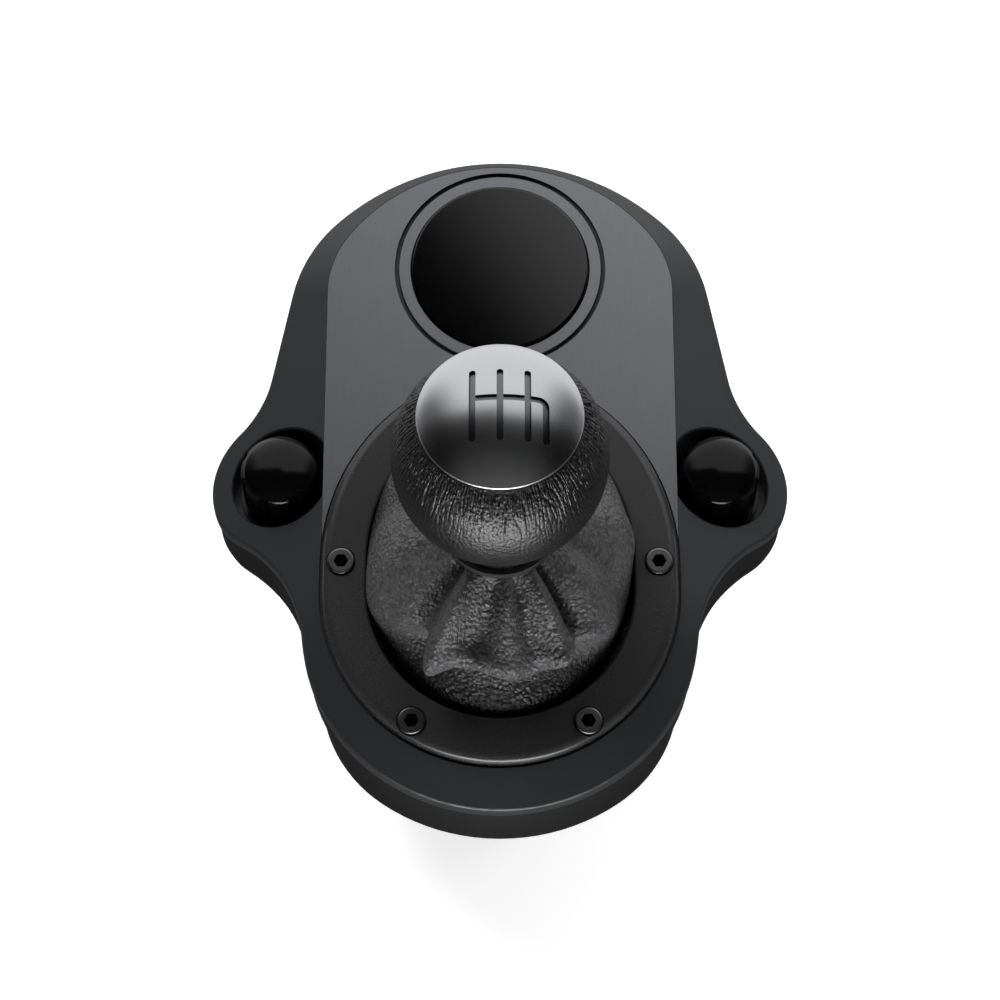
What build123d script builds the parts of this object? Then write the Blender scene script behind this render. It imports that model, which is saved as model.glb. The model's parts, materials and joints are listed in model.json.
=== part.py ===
from build123d import *
import os
from math import acos, atan2, cos, degrees, pi, radians, sin, sqrt, tan

os.makedirs("parts", exist_ok=True)

# A gear shifter with an H-pattern gate that clamps to a desk. Millimetres and degrees.
# +X is the driver's right, +Y points away from the driver, z = 0 is the surface it stands on,
# and the lever stands on the origin. The mechanism hangs in a deep box under the near half,
# and the far half is a shelf that rests on the desk.

cut_extra = 1.0            # overrun of every cut past the face it starts from
upright_tolerance = 0.01
points_per_turn = 24       # where a coil's gap is measured

# Plan outline of the whole body, a chain of arcs that meet in line
ear_x = 57.7               # clamp screws, right and left of the lever
ear_y = 31.9
ear_radius = 18.9          # ear outline round a clamp screw
near_radius = 54.5         # near end of the body
near_center_y = -1.9
near_turn = 55.3           # where the near end's arc tightens, below the X axis
near_corner_radius = 46.9
waist_radius = 40.3        # hollow between near end and ear
flank_radius = 24.3        # hollow between ear and far end
flank_lean = 12.4          # straight flank, leaning inwards
far_corner_x = 18.8
far_corner_y = 75.2
far_corner_radius = 38.2
far_y = 120.5              # far end of the body

# Face plate: a flat plane that rises away from the driver, with a border that falls outwards
plate_z = 82.0             # on the lever's axis
plate_tilt = 9.5
plate_half_width = 46.5
plate_near_center = -1.2   # along the plate, from the lever's axis
plate_corner_radius = 28.0
plate_corner_center = 83.0
plate_far = 120.3
border_slope = 22.0        # of the border, from the plate's plane
border_reach = 40.0
roof_depth = 120.0

# Upper housing
lid_thickness = 3.2
lid_edge_radius = 0.9
plate_thickness = 1.2
plate_gap = 0.1            # seam round the face plate
well_radius = 13.3         # pocket for a clamp knob
well_wall = 2.0
well_floor_z = 70.0
well_floor_thickness = 2.0
well_edge = 0.4
screw_hole_gap = 0.4

# Lower housing
shelf_z = 52.0             # underside of the shelf that rests on the desk
shelf_edge_radius = 7.0
round_steps = 4
housing_inset = 0.8        # the lower housing stands back under the lid's rim
wall = 2.6
skirt_z = 47.0             # lower edge of the upright wall round the near end
box_side = 47.5            # deep box at the skirt: half width, far wall and corners
box_blend = 39.3
box_far_y = 25.5
box_corner = 5.0
base_radius = 36.0         # deep box at its foot
base_center_y = 3.0
base_side = 34.0
base_blend = 20.0
mat_thickness = 2.0
base_plate_thickness = 3.0
base_gap = 0.2

# Boot opening and its trim ring, an egg shape on the face plate
egg_near_center = -1.2
egg_far_center = 6.0
egg_stretch = 6.5          # the far end is this much longer than a circle
opening_radius = 36.0      # in the housing
ring_outer_radius = 46.0
ring_inner_radius = 34.3
ring_rise = 3.4            # over the face plate
ring_groove = 0.7          # open groove round the trim ring
ring_outer_edge = 2.4
ring_inner_edge = 0.9
bolt_radius = 2.0
bolt_head_radius = 3.5
bolt_head_height = 1.9
bolt_head_edge = 0.5
bolt_socket = 3.3          # across flats
bolt_socket_depth = 1.4
bolt_seat_depth = 0.9
bolt_seat_gap = 0.35
bolt_length = 17.0
side_bolt = (40.9, 5.6)    # on the plate, right and left
near_bolt = (22.3, -36.6)
bolt_post_radius = 4.5
bolt_post_foot_z = 12.0
frame_outer_radius = 44.6
frame_thickness = 2.5

# Shift boot, an oval bag that narrows to the lever's collar
boot_leather = 1.0
boot_flange_radius = 43.0
boot_center = 5.6          # along the plate, at the foot
boot_lobes = 10
boot_half_x = 33.4         # at its foot, inside the trim ring
boot_half_y = 39.6
boot_top_radius = 12.3
boot_top_drop = 0.5        # under the collar's top
# rows from foot to top: height, tilt and centre, then width and length over the top's, all as shares,
# and the depth of the folds as a share of the radius
boot_row_shares = ((0.0, 1.0, 1.0, 1.0, 1.0, 0.0), (0.14, 1.0, 1.0, 0.99, 0.99, 0.0),
                   (0.32, 0.75, 0.75, 0.95, 0.9, 0.02), (0.5, 0.45, 0.45, 0.78, 0.72, 0.05),
                   (0.66, 0.2, 0.2, 0.52, 0.48, 0.07), (0.79, 0.06, 0.06, 0.24, 0.22, 0.04),
                   (0.88, 0.0, 0.0, 0.05, 0.05, 0.0), (0.94, 0.0, 0.0, 0.01, 0.01, 0.0),
                   (1.0, 0.0, 0.0, 0.0, 0.0, 0.0))
boot_below_share = -0.06

# Badge on the far end of the plate: a bare gloss disc in a ring
badge_center = 90.0
badge_radius = 23.8
badge_rise = 0.9
badge_edge_radius = 0.5
badge_ring_radius = 27.4
badge_ring_gap = 0.15
badge_ring_edge = 0.25
badge_groove_radius = 28.4

# Gimbal and pivots
pivot_z = 52.0
gimbal_half_x = 19.0
gimbal_half_y = 13.2
gimbal_window_x = 13.0
gimbal_window_y = 9.7
gimbal_height = 9.0
gimbal_corner = 2.5
pin_radius = 2.5
running_gap = 0.05
bush_wall = 1.4
upright_near = 17.0        # inner face of each upright
upright_thickness = 4.0
upright_half_width = 9.0
frame_base_half = 20.5
frame_base_thickness = 3.0
frame_window_x = 12.4
frame_window_y = 16.0
sensor_half = 8.0
sensor_thickness = 7.0
sensor_corner = 1.5
sensor_shaft_gap = 0.1

# Gate
gate_z = 16.5
gate_thickness = 2.5
gate_half_x = 20.4
gate_half_y = 16.6
gate_corner = 2.0
side_throw = 11.0          # lever's swing to either side
stroke_throw = 14.0        # lever's swing away from and towards the driver
finger_radius = 1.9
finger_edge = 1.1
finger_gap = 0.5
gate_post_radius = 2.4
gate_post_x = 17.6
gate_post_y = 13.8

# Lever tube and the rod that slides in it
tube_radius = 7.5
tube_upper_radius = 8.6
tube_step_z = 80.0
tube_top_z = 110.0
tube_bottom_z = 38.0
hub_radius = 6.0
hub_gap = 0.3
axle_radius = 2.0
rod_radius = 4.5
rod_bottom_z = 34.0
finger_bottom_z = 12.6
rod_top_z = 150.0
press_travel = 6.0
stop_gap = 0.3
spring_bore_radius = 6.6
spring_seat_z = 84.0
clip_thickness = 1.6
clip_radius = 6.2
guide_bush_height = 4.2
spring_wire = 0.45
press_spring_radius = 5.55
press_spring_turns = 6
side_spring_radius = 2.4
side_spring_turns = 8
side_spring_x = 15.8
collar_radius = 11.0
collar_bottom_z = 103.0
collar_top_z = 117.0       # stands over the lever tube, close under the ball
collar_edge = 0.8
tie_thickness = 1.2
tie_height = 2.0
tie_z = 115.0
soft_gap = 0.35

# Shift knob
knob_z = 149.0             # centre of the ball
knob_radius = 25.7
knob_leather = 1.5
cap_angle = 46.7           # from the top to the cap's edge
cap_proud = 1.1
cap_edge_radius = 0.6
cap_seam = 0.2
knob_foot_radius = 9.0     # flat foot of the ball round the neck
neck_radius = 7.6
neck_height = 5.6
neck_edge = 1.2
insert_radius = 7.0
insert_bottom_z = 129.0
pattern_depth = 0.7
pattern_width = 1.5
pattern_spacing = 6.3
pattern_up = 7.4
pattern_down = 9.4
pattern_reverse_step = 4.1
pattern_reverse_corner = 1.6

# Desk clamps
knob_bottom_z = 71.3
knob_top_z = 91.0
clamp_knob_radius = 10.4
clamp_flange_radius = 11.3
clamp_flange_height = 2.2
clamp_dome_rise = 5.4
flute_count = 8
flute_radius = 1.9
flute_center = 11.3
flute_foot = 3.4
clamp_screw_radius = 3.5
clamp_screw_top_z = 84.0
clamp_screw_bottom_z = 6.0
clamp_collar_radius = 6.0
clamp_collar_height = 1.5
washer_radius = 8.0
washer_gap = 0.15
clamp_boss_radius = 7.4
guide_x = 44.0
guide_radius = 3.0
guide_gap = 0.1
guide_bottom_z = 2.6
guide_boss_radius = 5.0
guide_boss_height = 12.0
jaw_bottom_z = 30.0
jaw_thickness = 9.0
jaw_boss_radius = 8.4
jaw_guide_radius = 6.0
jaw_tip_radius = 9.0
jaw_tip_y = 76.0
jaw_edge = 1.2
nut_radius = 5.6
nut_height = 8.0
pad_thickness = 1.5
pad_half_x = 6.0
pad_near_y = 52.0
pad_far_y = 80.0
pad_corner = 3.0
far_pad_half_x = 16.0
far_pad_y = 98.0
far_pad_half_y = 6.0

# Fasteners and electronics
small_screw_radius = 1.5
small_head_radius = 2.8
small_head_height = 1.8
cross_slot = 2.8
gate_screw_radius = 1.25
base_screw_x = 28.2
base_screw_near_y = -8.0
base_screw_far_y = 14.0
base_boss_radius = 4.6
base_boss_height = 9.0
mount_x = 26.0             # desk rig bolts, M6, right and left
mount_y = 3.0
mount_nut_radius = 4.8
mount_nut_height = 6.0
mount_bore_radius = 2.5
mount_clear_radius = 3.2
frame_screw_x = 16.4
frame_screw_y = 18.6
shelf_screw_near = (31.5, 56.5)
shelf_screw_far = (28.0, 99.0)
shelf_boss_radius = 3.8
shelf_screw_length = 14.0
board_half_x = 25.0
board_near_y = 58.0
board_far_y = 92.0
board_thickness = 1.6
board_standoff = 3.0
standoff_radius = 3.0
board_hole_inset = 4.0
chip_half = 5.0
chip_height = 1.4
socket_half_x = 9.0
socket_half_y = 3.0
socket_height = 6.0
grommet_z = 70.0
grommet_neck_radius = 4.5
grommet_flange_radius = 6.6
grommet_flange = 1.4
grommet_bore_radius = 2.6
lens_body_half = 3.0
lens_body_height = 2.6
lens_radius = 1.7
lens_gap = 0.3

# Planes and places that several pieces share
plate = Plane(
    origin=(0, 0, plate_z),
    x_dir=(1, 0, 0),
    z_dir=(0, -sin(radians(plate_tilt)), cos(radians(plate_tilt))),
)
side_bolts = [(side * side_bolt[0], side_bolt[1]) for side in (1, -1)]
near_bolts = [(side * near_bolt[0], near_bolt[1]) for side in (1, -1)]
ring_bolts = side_bolts + near_bolts
ears = [(ear_x, ear_y), (-ear_x, ear_y)]
guides = [(guide_x, ear_y), (-guide_x, ear_y)]
base_plate_z = mat_thickness + base_plate_thickness
floor_z = shelf_z + wall
frame_top = lid_thickness + boot_leather
post_top = frame_top + frame_thickness
boot_top_z = collar_top_z - boot_top_drop
sides = {"right": 1, "left": -1}
standing = (Align.CENTER, Align.CENTER, Align.MIN)
hanging = (Align.CENTER, Align.CENTER, Align.MAX)


# direction from one point to another, in degrees
def bearing(start, end):
    return degrees(atan2(end.Y - start.Y, end.X - start.X))


# where two circles cross, on the right of the way from the first centre to the second
def crossing(first, first_radius, second, second_radius):
    way = second - first
    along = (first_radius**2 - second_radius**2 + way.length**2) / (2 * way.length)
    aside = sqrt(first_radius**2 - along**2)
    ahead = way.normalized()
    return first + ahead * along + ahead.rotate(Axis.Z, -90) * aside


# centre height of a far arc that ends a corner arc in line and tops out at top
def far_arc_center(corner_x, corner_y, corner_radius, top):
    reach = top - corner_radius
    return (reach**2 - corner_x**2 - corner_y**2) / (2 * (reach - corner_y))


ear_center = Vector(ear_x, ear_y)
near_center = Vector(0, near_center_y)
near_corner = near_center + Vector(near_radius - near_corner_radius, 0).rotate(Axis.Z, -near_turn)
waist_center = crossing(
    near_corner, near_corner_radius + waist_radius, ear_center, ear_radius + waist_radius
)
far_corner = Vector(far_corner_x, far_corner_y)
far_center = Vector(0, far_arc_center(far_corner_x, far_corner_y, far_corner_radius, far_y))
flank_out = Vector(1, 0).rotate(Axis.Z, flank_lean)
flank_off = far_corner_radius + flank_radius - (ear_center - far_corner).dot(flank_out)
flank_up = sqrt((ear_radius + flank_radius) ** 2 - flank_off**2)
flank_center = ear_center + flank_out * flank_off + flank_out.rotate(Axis.Z, 90) * flank_up


# arc about center from one bearing to another
def bend(center, radius, start, end):
    return CenterArc(center, radius, start, end - start)


# plan outline of the body, drawn in by an inset
def body_outline(inset):
    to_waist = bearing(near_corner, waist_center)
    far_turn = bearing(far_center, far_corner)
    with BuildSketch() as drawn:
        with BuildLine():
            bend(near_center, near_radius - inset, -90, -near_turn)
            bend(near_corner, near_corner_radius - inset, -near_turn, to_waist)
            bend(
                waist_center,
                waist_radius + inset,
                bearing(waist_center, near_corner),
                bearing(waist_center, ear_center),
            )
            bend(
                ear_center,
                ear_radius - inset,
                bearing(ear_center, waist_center),
                bearing(ear_center, flank_center),
            )
            flank = bend(
                flank_center,
                flank_radius + inset,
                bearing(flank_center, ear_center),
                flank_lean - 180,
            )
            corner = bend(far_corner, far_corner_radius - inset, flank_lean, far_turn)
            Line(flank @ 1, corner @ 0)
            bend(far_center, far_y - far_center.Y - inset, far_turn, 90)
            mirror(about=Plane.YZ)
        make_face()
    return drawn.sketch


# outline of the face plate with every edge moved outwards by grow, in the plate's own plane
def plate_outline(grow):
    radius = plate_corner_radius
    across = plate_half_width - radius
    far_center_v = far_arc_center(across, plate_corner_center, radius, plate_far)
    turn = degrees(atan2(plate_corner_center - far_center_v, across))
    with BuildSketch() as drawn:
        with BuildLine():
            near = CenterArc((0, plate_near_center), plate_half_width + grow, -90, 90)
            corner = CenterArc((across, plate_corner_center), radius + grow, 0, turn)
            Line(near @ 1, corner @ 0)
            CenterArc((0, far_center_v), plate_far - far_center_v + grow, turn, 90 - turn)
            mirror(about=Plane.YZ)
        make_face()
    return drawn.sketch


# everything under the body's top surface, lowered by drop
def roof(drop):
    border_fall = border_reach * tan(radians(border_slope))
    with BuildPart() as under:
        with BuildSketch(plate.offset(-drop)):
            add(plate_outline(0))
        with BuildSketch(plate.offset(-drop - border_fall)):
            add(plate_outline(border_reach))
        loft(ruled=True)
        with BuildSketch(plate.offset(-drop - border_fall)):
            add(plate_outline(border_reach))
        extrude(amount=-roof_depth)
    return under.part


# egg outline of the boot opening and its rings, in the plate's own plane
def egg(radius):
    with BuildSketch() as drawn:
        with BuildLine():
            near = CenterArc((0, egg_near_center), radius, -90, 90)
            far = EllipticalCenterArc((0, egg_far_center), radius, radius + egg_stretch, 0, arc_size=90)
            Line(near @ 1, far @ 0)
            mirror(about=Plane.YZ)
        make_face()
    return drawn.sketch


# plan outline of the deep box: a round near end, upright sides and a flat far wall
def box_outline(center_y, radius, side, blend):
    swing = degrees(acos((side - blend) / (radius - blend)))
    blend_y = center_y - (radius - blend) * sin(radians(swing))
    with BuildSketch() as drawn:
        with BuildLine():
            near = CenterArc((0, center_y), radius, -90, 90 - swing)
            turn = CenterArc((side - blend, blend_y), blend, -swing, swing)
            corner = CenterArc((side - box_corner, box_far_y - box_corner), box_corner, 0, 90)
            Line(turn @ 1, corner @ 0)
            Line(corner @ 1, (0, box_far_y))
            mirror(about=Plane.YZ)
        make_face()
    return drawn.sketch


# the same outline, drawn in by an inset
def inset_box(center_y, radius, side, blend, inset):
    with BuildSketch() as drawn:
        add(box_outline(center_y, radius, side, blend))
        if inset:
            offset(amount=-inset)
    return drawn.sketch


def skirt_outline(inset):
    return inset_box(near_center_y, near_radius - housing_inset, box_side, box_blend, inset)


def base_outline(inset):
    return inset_box(base_center_y, base_radius, base_side, base_blend, inset)


# least gap between the turns of a coil, from points along it
def turn_gap(wire, turns):
    steps = points_per_turn * turns
    points = [wire @ (i / steps) for i in range(steps + 1)]
    apart = points_per_turn // 2
    return min((b - a).length for i, a in enumerate(points) for b in points[i + apart:]) - 2 * spring_wire


# a coil spring of round wire standing on foot, its axis upright
def coil(foot, radius, height, turns):
    with BuildPart() as made:
        with BuildLine() as path:
            Helix(height / turns, height, radius, center=foot)
        wire = path.line
        with BuildSketch(Plane(origin=wire @ 0, z_dir=wire % 0)):
            Circle(spring_wire)
        sweep(path=wire, is_frenet=True)
    print("least gap between a coil's turns", round(turn_gap(wire, turns), 2))
    return made.part


def finish(made, name):
    made.part.label = name
    export_step(made.part, f"parts/{name}.step")


# Upper housing: the lid with its falling border, two knob wells and the boot opening
with BuildPart() as upper_housing:
    with BuildSketch(Plane.XY.offset(shelf_z)):
        add(body_outline(0))
    extrude(amount=roof_depth)
    add(roof(0), mode=Mode.INTERSECT)
    walls = upper_housing.faces().filter_by(lambda f: abs(f.normal_at().Z) < upright_tolerance)
    rim = walls.edges().filter_by(Axis.Z, reverse=True)
    fillet(rim.filter_by_position(Axis.Z, shelf_z + cut_extra, roof_depth), lid_edge_radius)
    with Locations(*[(x, y, well_floor_z) for x, y in ears]):
        Cylinder(well_radius, roof_depth, align=standing, mode=Mode.SUBTRACT)
    wells = upper_housing.faces().filter_by(GeomType.CYLINDER)
    wells = wells.filter_by(lambda f: abs(f.radius - well_radius) < upright_tolerance)
    rim = wells.edges().filter_by(Axis.Z, reverse=True)
    chamfer(rim.filter_by_position(Axis.Z, well_floor_z + cut_extra, roof_depth), well_edge)
    add(roof(lid_thickness), mode=Mode.SUBTRACT)
    with BuildPart(mode=Mode.PRIVATE) as cups:
        with Locations(*[(x, y, well_floor_z - well_floor_thickness) for x, y in ears]):
            Cylinder(well_radius + well_wall, roof_depth, align=standing)
        add(roof(lid_thickness / 2), mode=Mode.INTERSECT)
        with Locations(*[(x, y, well_floor_z) for x, y in ears]):
            Cylinder(well_radius, roof_depth, align=standing, mode=Mode.SUBTRACT)
            Cylinder(clamp_screw_radius + screw_hole_gap, roof_depth, mode=Mode.SUBTRACT)
    add(cups.part)
    with BuildSketch(plate):
        add(plate_outline(-plate_gap))
        add(egg(ring_outer_radius + ring_groove))
    extrude(amount=-plate_thickness, mode=Mode.SUBTRACT)
    with BuildSketch(plate):
        add(egg(opening_radius))
        with Locations(*ring_bolts):
            Circle(bolt_radius + running_gap)
    extrude(amount=-roof_depth / 4, mode=Mode.SUBTRACT)

# Face plate, let into the lid
with BuildPart() as face_plate:
    with BuildSketch(plate.offset(-plate_thickness)):
        add(plate_outline(-2 * plate_gap))
        add(egg(ring_outer_radius + ring_groove), mode=Mode.SUBTRACT)
        with Locations((0, badge_center)):
            Circle(badge_groove_radius, mode=Mode.SUBTRACT)
    extrude(amount=plate_thickness)
finish(face_plate, "face_plate")

# Badge: a band level with the plate, and the bare disc inside it
badge_plane = plate.offset(-plate_thickness)
with BuildPart() as badge_ring:
    with BuildSketch(badge_plane):
        with Locations((0, badge_center)):
            Circle(badge_ring_radius)
            Circle(badge_radius + badge_ring_gap, mode=Mode.SUBTRACT)
    extrude(amount=plate_thickness)
    ring_top = badge_ring.faces().sort_by(Axis(plate.origin, plate.z_dir))[-1]
    chamfer(ring_top.edges(), badge_ring_edge)
finish(badge_ring, "badge_ring")

with BuildPart() as badge_disc:
    with BuildSketch(badge_plane):
        with Locations((0, badge_center)):
            Circle(badge_radius)
    extrude(amount=plate_thickness + badge_rise)
    disc_top = badge_disc.faces().sort_by(Axis(plate.origin, plate.z_dir))[-1]
    fillet(disc_top.edges(), badge_edge_radius)
finish(badge_disc, "badge_disc")

# Trim ring round the boot, held by four socket bolts that sit in shallow seats
with BuildPart() as boot_trim_ring:
    with BuildSketch(plate.offset(-plate_thickness)):
        add(egg(ring_outer_radius))
        add(egg(ring_inner_radius), mode=Mode.SUBTRACT)
    extrude(amount=plate_thickness + ring_rise)
    top_face = boot_trim_ring.faces().sort_by(Axis(plate.origin, plate.z_dir))[-1]
    inner_wire = top_face.inner_wires()[0]
    outer_wire = top_face.outer_wire()
    fillet(outer_wire.edges(), ring_outer_edge)
    fillet(inner_wire.edges(), ring_inner_edge)
    with BuildSketch(plate.offset(ring_rise - bolt_seat_depth)):
        with Locations(*ring_bolts):
            Circle(bolt_head_radius + bolt_seat_gap)
    extrude(amount=ring_rise, mode=Mode.SUBTRACT)
    with BuildSketch(plate):
        with Locations(*ring_bolts):
            Circle(bolt_radius + running_gap)
    extrude(amount=ring_rise, both=True, mode=Mode.SUBTRACT)
finish(boot_trim_ring, "boot_trim_ring")

bolt_seat = plate.offset(ring_rise - bolt_seat_depth)
with BuildPart() as trim_ring_bolts:
    with BuildSketch(bolt_seat):
        with Locations(*ring_bolts):
            Circle(bolt_head_radius)
    extrude(amount=bolt_head_height)
    heads = trim_ring_bolts.faces().filter_by(lambda f: f.normal_at().dot(plate.z_dir) > 0.99)
    fillet(heads.edges(), bolt_head_edge)
    with BuildSketch(bolt_seat.offset(bolt_head_height)):
        with Locations(*ring_bolts):
            RegularPolygon(bolt_socket / 2, 6, major_radius=False)
    extrude(amount=-bolt_socket_depth, mode=Mode.SUBTRACT)
    with BuildSketch(bolt_seat):
        with Locations(*ring_bolts):
            Circle(bolt_radius)
    extrude(amount=-bolt_length)
finish(trim_ring_bolts, "trim_ring_bolts")

# Frame under the lid that clamps the boot's edge
with BuildPart() as boot_retainer_frame:
    with BuildSketch(plate.offset(-frame_top)):
        add(egg(frame_outer_radius))
        add(egg(opening_radius), mode=Mode.SUBTRACT)
        with Locations(*ring_bolts):
            Circle(bolt_radius + running_gap, mode=Mode.SUBTRACT)
    extrude(amount=-frame_thickness)
finish(boot_retainer_frame, "boot_retainer_frame")


# one closed outline round the boot, made of arcs that bulge between shallow valleys
def boot_section(plane, half_x, half_y, center, fold):
    count = boot_lobes
    with BuildSketch(plane) as drawn:
        with BuildLine():
            for i in range(count):
                points = []
                for part, push in ((0, 1 - fold), (0.5, 1 + fold), (1, 1 - fold)):
                    turn = 2 * pi * (i + part) / count
                    points.append((half_x * push * cos(turn), center + half_y * push * sin(turn)))
                ThreePointArc(*points)
        make_face()
    return drawn.sketch


# one row of the boot's bag, drawn in by an inset
def boot_row(shares, inset):
    height, tilt, middle, across, along, fold = shares
    lean = radians(tilt * plate_tilt)
    foot_z = plate_z - frame_top / cos(radians(plate_tilt))
    level = Plane(
        origin=(0, 0, foot_z + height * (boot_top_z - foot_z)),
        x_dir=(1, 0, 0),
        z_dir=(0, -sin(lean), cos(lean)),
    )
    half_x = boot_top_radius + across * (boot_half_x - boot_top_radius) - inset
    half_y = boot_top_radius + along * (boot_half_y - boot_top_radius) - inset
    return boot_section(level, half_x, half_y, middle * boot_center, fold)


# the boot's bag, drawn in by an inset; the inner one runs past its foot
def boot_bag(inset):
    with BuildPart() as bag:
        if inset:
            add(boot_row((boot_below_share, *boot_row_shares[0][1:]), inset))
        for shares in boot_row_shares:
            add(boot_row(shares, inset))
        loft()
    return bag.part


with BuildPart() as shift_boot:
    add(boot_bag(0))
    with BuildSketch(plate.offset(-frame_top)):
        add(egg(boot_flange_radius))
        with Locations(*ring_bolts):
            Circle(bolt_radius + running_gap, mode=Mode.SUBTRACT)
    extrude(amount=boot_leather)
    add(boot_bag(boot_leather), mode=Mode.SUBTRACT)
finish(shift_boot, "shift_boot")

# Lower housing: a shelf for the desk and a deep box under the lever, with posts and bosses
bolt_depth = plate.offset(-post_top - bolt_length / 4)
post_places = [bolt_depth.from_local_coords(Vector(x, v, 0)) for x, v in ring_bolts]
posts = [(place.X, place.Y) for place in post_places]
base_screws = [
    (side * base_screw_x, y) for side in (1, -1) for y in (base_screw_near_y, base_screw_far_y)
]
shelf_screws = [(side * x, y) for side in (1, -1) for x, y in (shelf_screw_near, shelf_screw_far)]
board_screws = [
    (side * (board_half_x - board_hole_inset), y)
    for side in (1, -1)
    for y in (board_near_y + board_hole_inset, board_far_y - board_hole_inset)
]
boss_top_z = well_floor_z - well_floor_thickness - clamp_collar_height - 2 * stop_gap
board_z = floor_z + board_standoff


# a block of the body's plan from a level up, its lower edge rounded by flat steps
def rounded_block(inset, level, radius):
    with BuildPart() as block:
        for step in range(round_steps + 1):
            turn = radians(90 * step / round_steps)
            with BuildSketch(Plane.XY.offset(level + radius * (1 - cos(turn)))):
                add(body_outline(inset + radius * (1 - sin(turn))))
        loft(ruled=True)
        with BuildSketch(Plane.XY.offset(level + radius)):
            add(body_outline(inset))
        extrude(amount=roof_depth)
    return block.part


with BuildPart() as housing_block:
    add(rounded_block(housing_inset, shelf_z, shelf_edge_radius))
    with BuildSketch(Plane.XY.offset(skirt_z)):
        add(skirt_outline(0))
    extrude(amount=roof_depth)
    with BuildSketch(Plane.XY.offset(mat_thickness)):
        add(base_outline(0))
    with BuildSketch(Plane.XY.offset(skirt_z)):
        add(skirt_outline(0))
    loft(ruled=True)
    add(roof(lid_thickness), mode=Mode.INTERSECT)

with BuildPart() as housing_room:
    add(rounded_block(housing_inset + wall, floor_z, shelf_edge_radius - wall))
    with BuildSketch(Plane.XY.offset(skirt_z)):
        add(skirt_outline(wall))
    extrude(amount=roof_depth)
    with BuildSketch(Plane.XY.offset(mat_thickness - cut_extra)):
        add(base_outline(wall))
    with BuildSketch(Plane.XY.offset(skirt_z)):
        add(skirt_outline(wall))
    loft(ruled=True)

with BuildPart() as housing_bosses:
    with Locations(*[(x, y, bolt_post_foot_z) for x, y in posts]):
        Cylinder(bolt_post_radius, roof_depth, align=standing)
    add(roof(post_top), mode=Mode.INTERSECT)
    with Locations(*[(x, y, shelf_z) for x, y in ears]):
        Cylinder(clamp_boss_radius, boss_top_z - shelf_z, align=standing)
    with Locations(*[(x, y, shelf_z) for x, y in guides]):
        Cylinder(guide_boss_radius, guide_boss_height, align=standing)
    with Locations(*[(x, y, shelf_z) for x, y in board_screws]):
        Cylinder(standoff_radius, board_z - shelf_z, align=standing)
    with Locations(*[(x, y, base_plate_z) for x, y in base_screws]):
        Cylinder(base_boss_radius, base_boss_height, align=standing)
    add(housing_block.part, mode=Mode.INTERSECT)

with BuildPart() as lower_housing:
    add(housing_block.part)
    add(housing_room.part, mode=Mode.SUBTRACT)
    add(housing_bosses.part)
    with BuildSketch(plate):
        with Locations(*ring_bolts):
            Circle(bolt_radius)
    extrude(amount=-bolt_length, mode=Mode.SUBTRACT)
    with Locations(*[(x, y, shelf_z) for x, y in ears]):
        Cylinder(clamp_screw_radius + screw_hole_gap, roof_depth, mode=Mode.SUBTRACT)
    with Locations(*[(x, y, shelf_z) for x, y in guides]):
        Cylinder(guide_radius, 2 * (guide_boss_height - wall), mode=Mode.SUBTRACT)
    with Locations(*[(x, y, shelf_z) for x, y in shelf_screws]):
        Cylinder(small_screw_radius + running_gap, roof_depth / 4, mode=Mode.SUBTRACT)
        Cylinder(small_head_radius + running_gap, 2 * small_head_height, mode=Mode.SUBTRACT)
    with Locations(*[(x, y, board_z) for x, y in board_screws]):
        Cylinder(small_screw_radius, 2 * board_standoff, mode=Mode.SUBTRACT)
    with Locations(*[(x, y, base_plate_z) for x, y in base_screws]):
        Cylinder(small_screw_radius, 2 * base_boss_height - 2 * wall, mode=Mode.SUBTRACT)
    with BuildSketch(Plane.XZ.offset(-far_y)):
        with Locations((0, grommet_z)):
            Circle(grommet_neck_radius)
    extrude(amount=shelf_edge_radius, both=True, mode=Mode.SUBTRACT)
    with BuildSketch(Plane.XZ.offset(-far_y)):
        with Locations((0, grommet_z)):
            Circle(grommet_flange_radius + base_gap)
    extrude(amount=2 * housing_inset, mode=Mode.SUBTRACT)
finish(lower_housing, "lower_housing")

# The lid's bosses for the screws that come up through the shelf
with upper_housing:
    with BuildPart(mode=Mode.PRIVATE) as lid_bosses:
        with Locations(*[(x, y, floor_z) for x, y in shelf_screws]):
            Cylinder(shelf_boss_radius, roof_depth, align=standing)
        add(roof(lid_thickness), mode=Mode.INTERSECT)
        with Locations(*[(x, y, floor_z) for x, y in shelf_screws]):
            Cylinder(small_screw_radius, 2 * shelf_screw_length, mode=Mode.SUBTRACT)
    add(lid_bosses.part)
finish(upper_housing, "upper_housing")

# Base: a steel plate let into the foot of the deep box, and a rubber mat under both
mounts = [(mount_x, mount_y), (-mount_x, mount_y)]
frame_screws_at = [(side * frame_screw_x, y) for side in (1, -1) for y in (-frame_screw_y, frame_screw_y)]
with BuildPart() as base_plate:
    with BuildSketch(Plane.XY.offset(mat_thickness)):
        add(base_outline(wall + base_gap))
        with Locations(*mounts):
            Circle(mount_clear_radius, mode=Mode.SUBTRACT)
        with Locations(*frame_screws_at, *base_screws):
            Circle(small_screw_radius + running_gap, mode=Mode.SUBTRACT)
    extrude(amount=base_plate_thickness)
    with Locations(*[(x, y, mat_thickness) for x, y in frame_screws_at + base_screws]):
        Cylinder(small_head_radius + running_gap, 2 * small_head_height, mode=Mode.SUBTRACT)
finish(base_plate, "base_plate")


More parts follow.
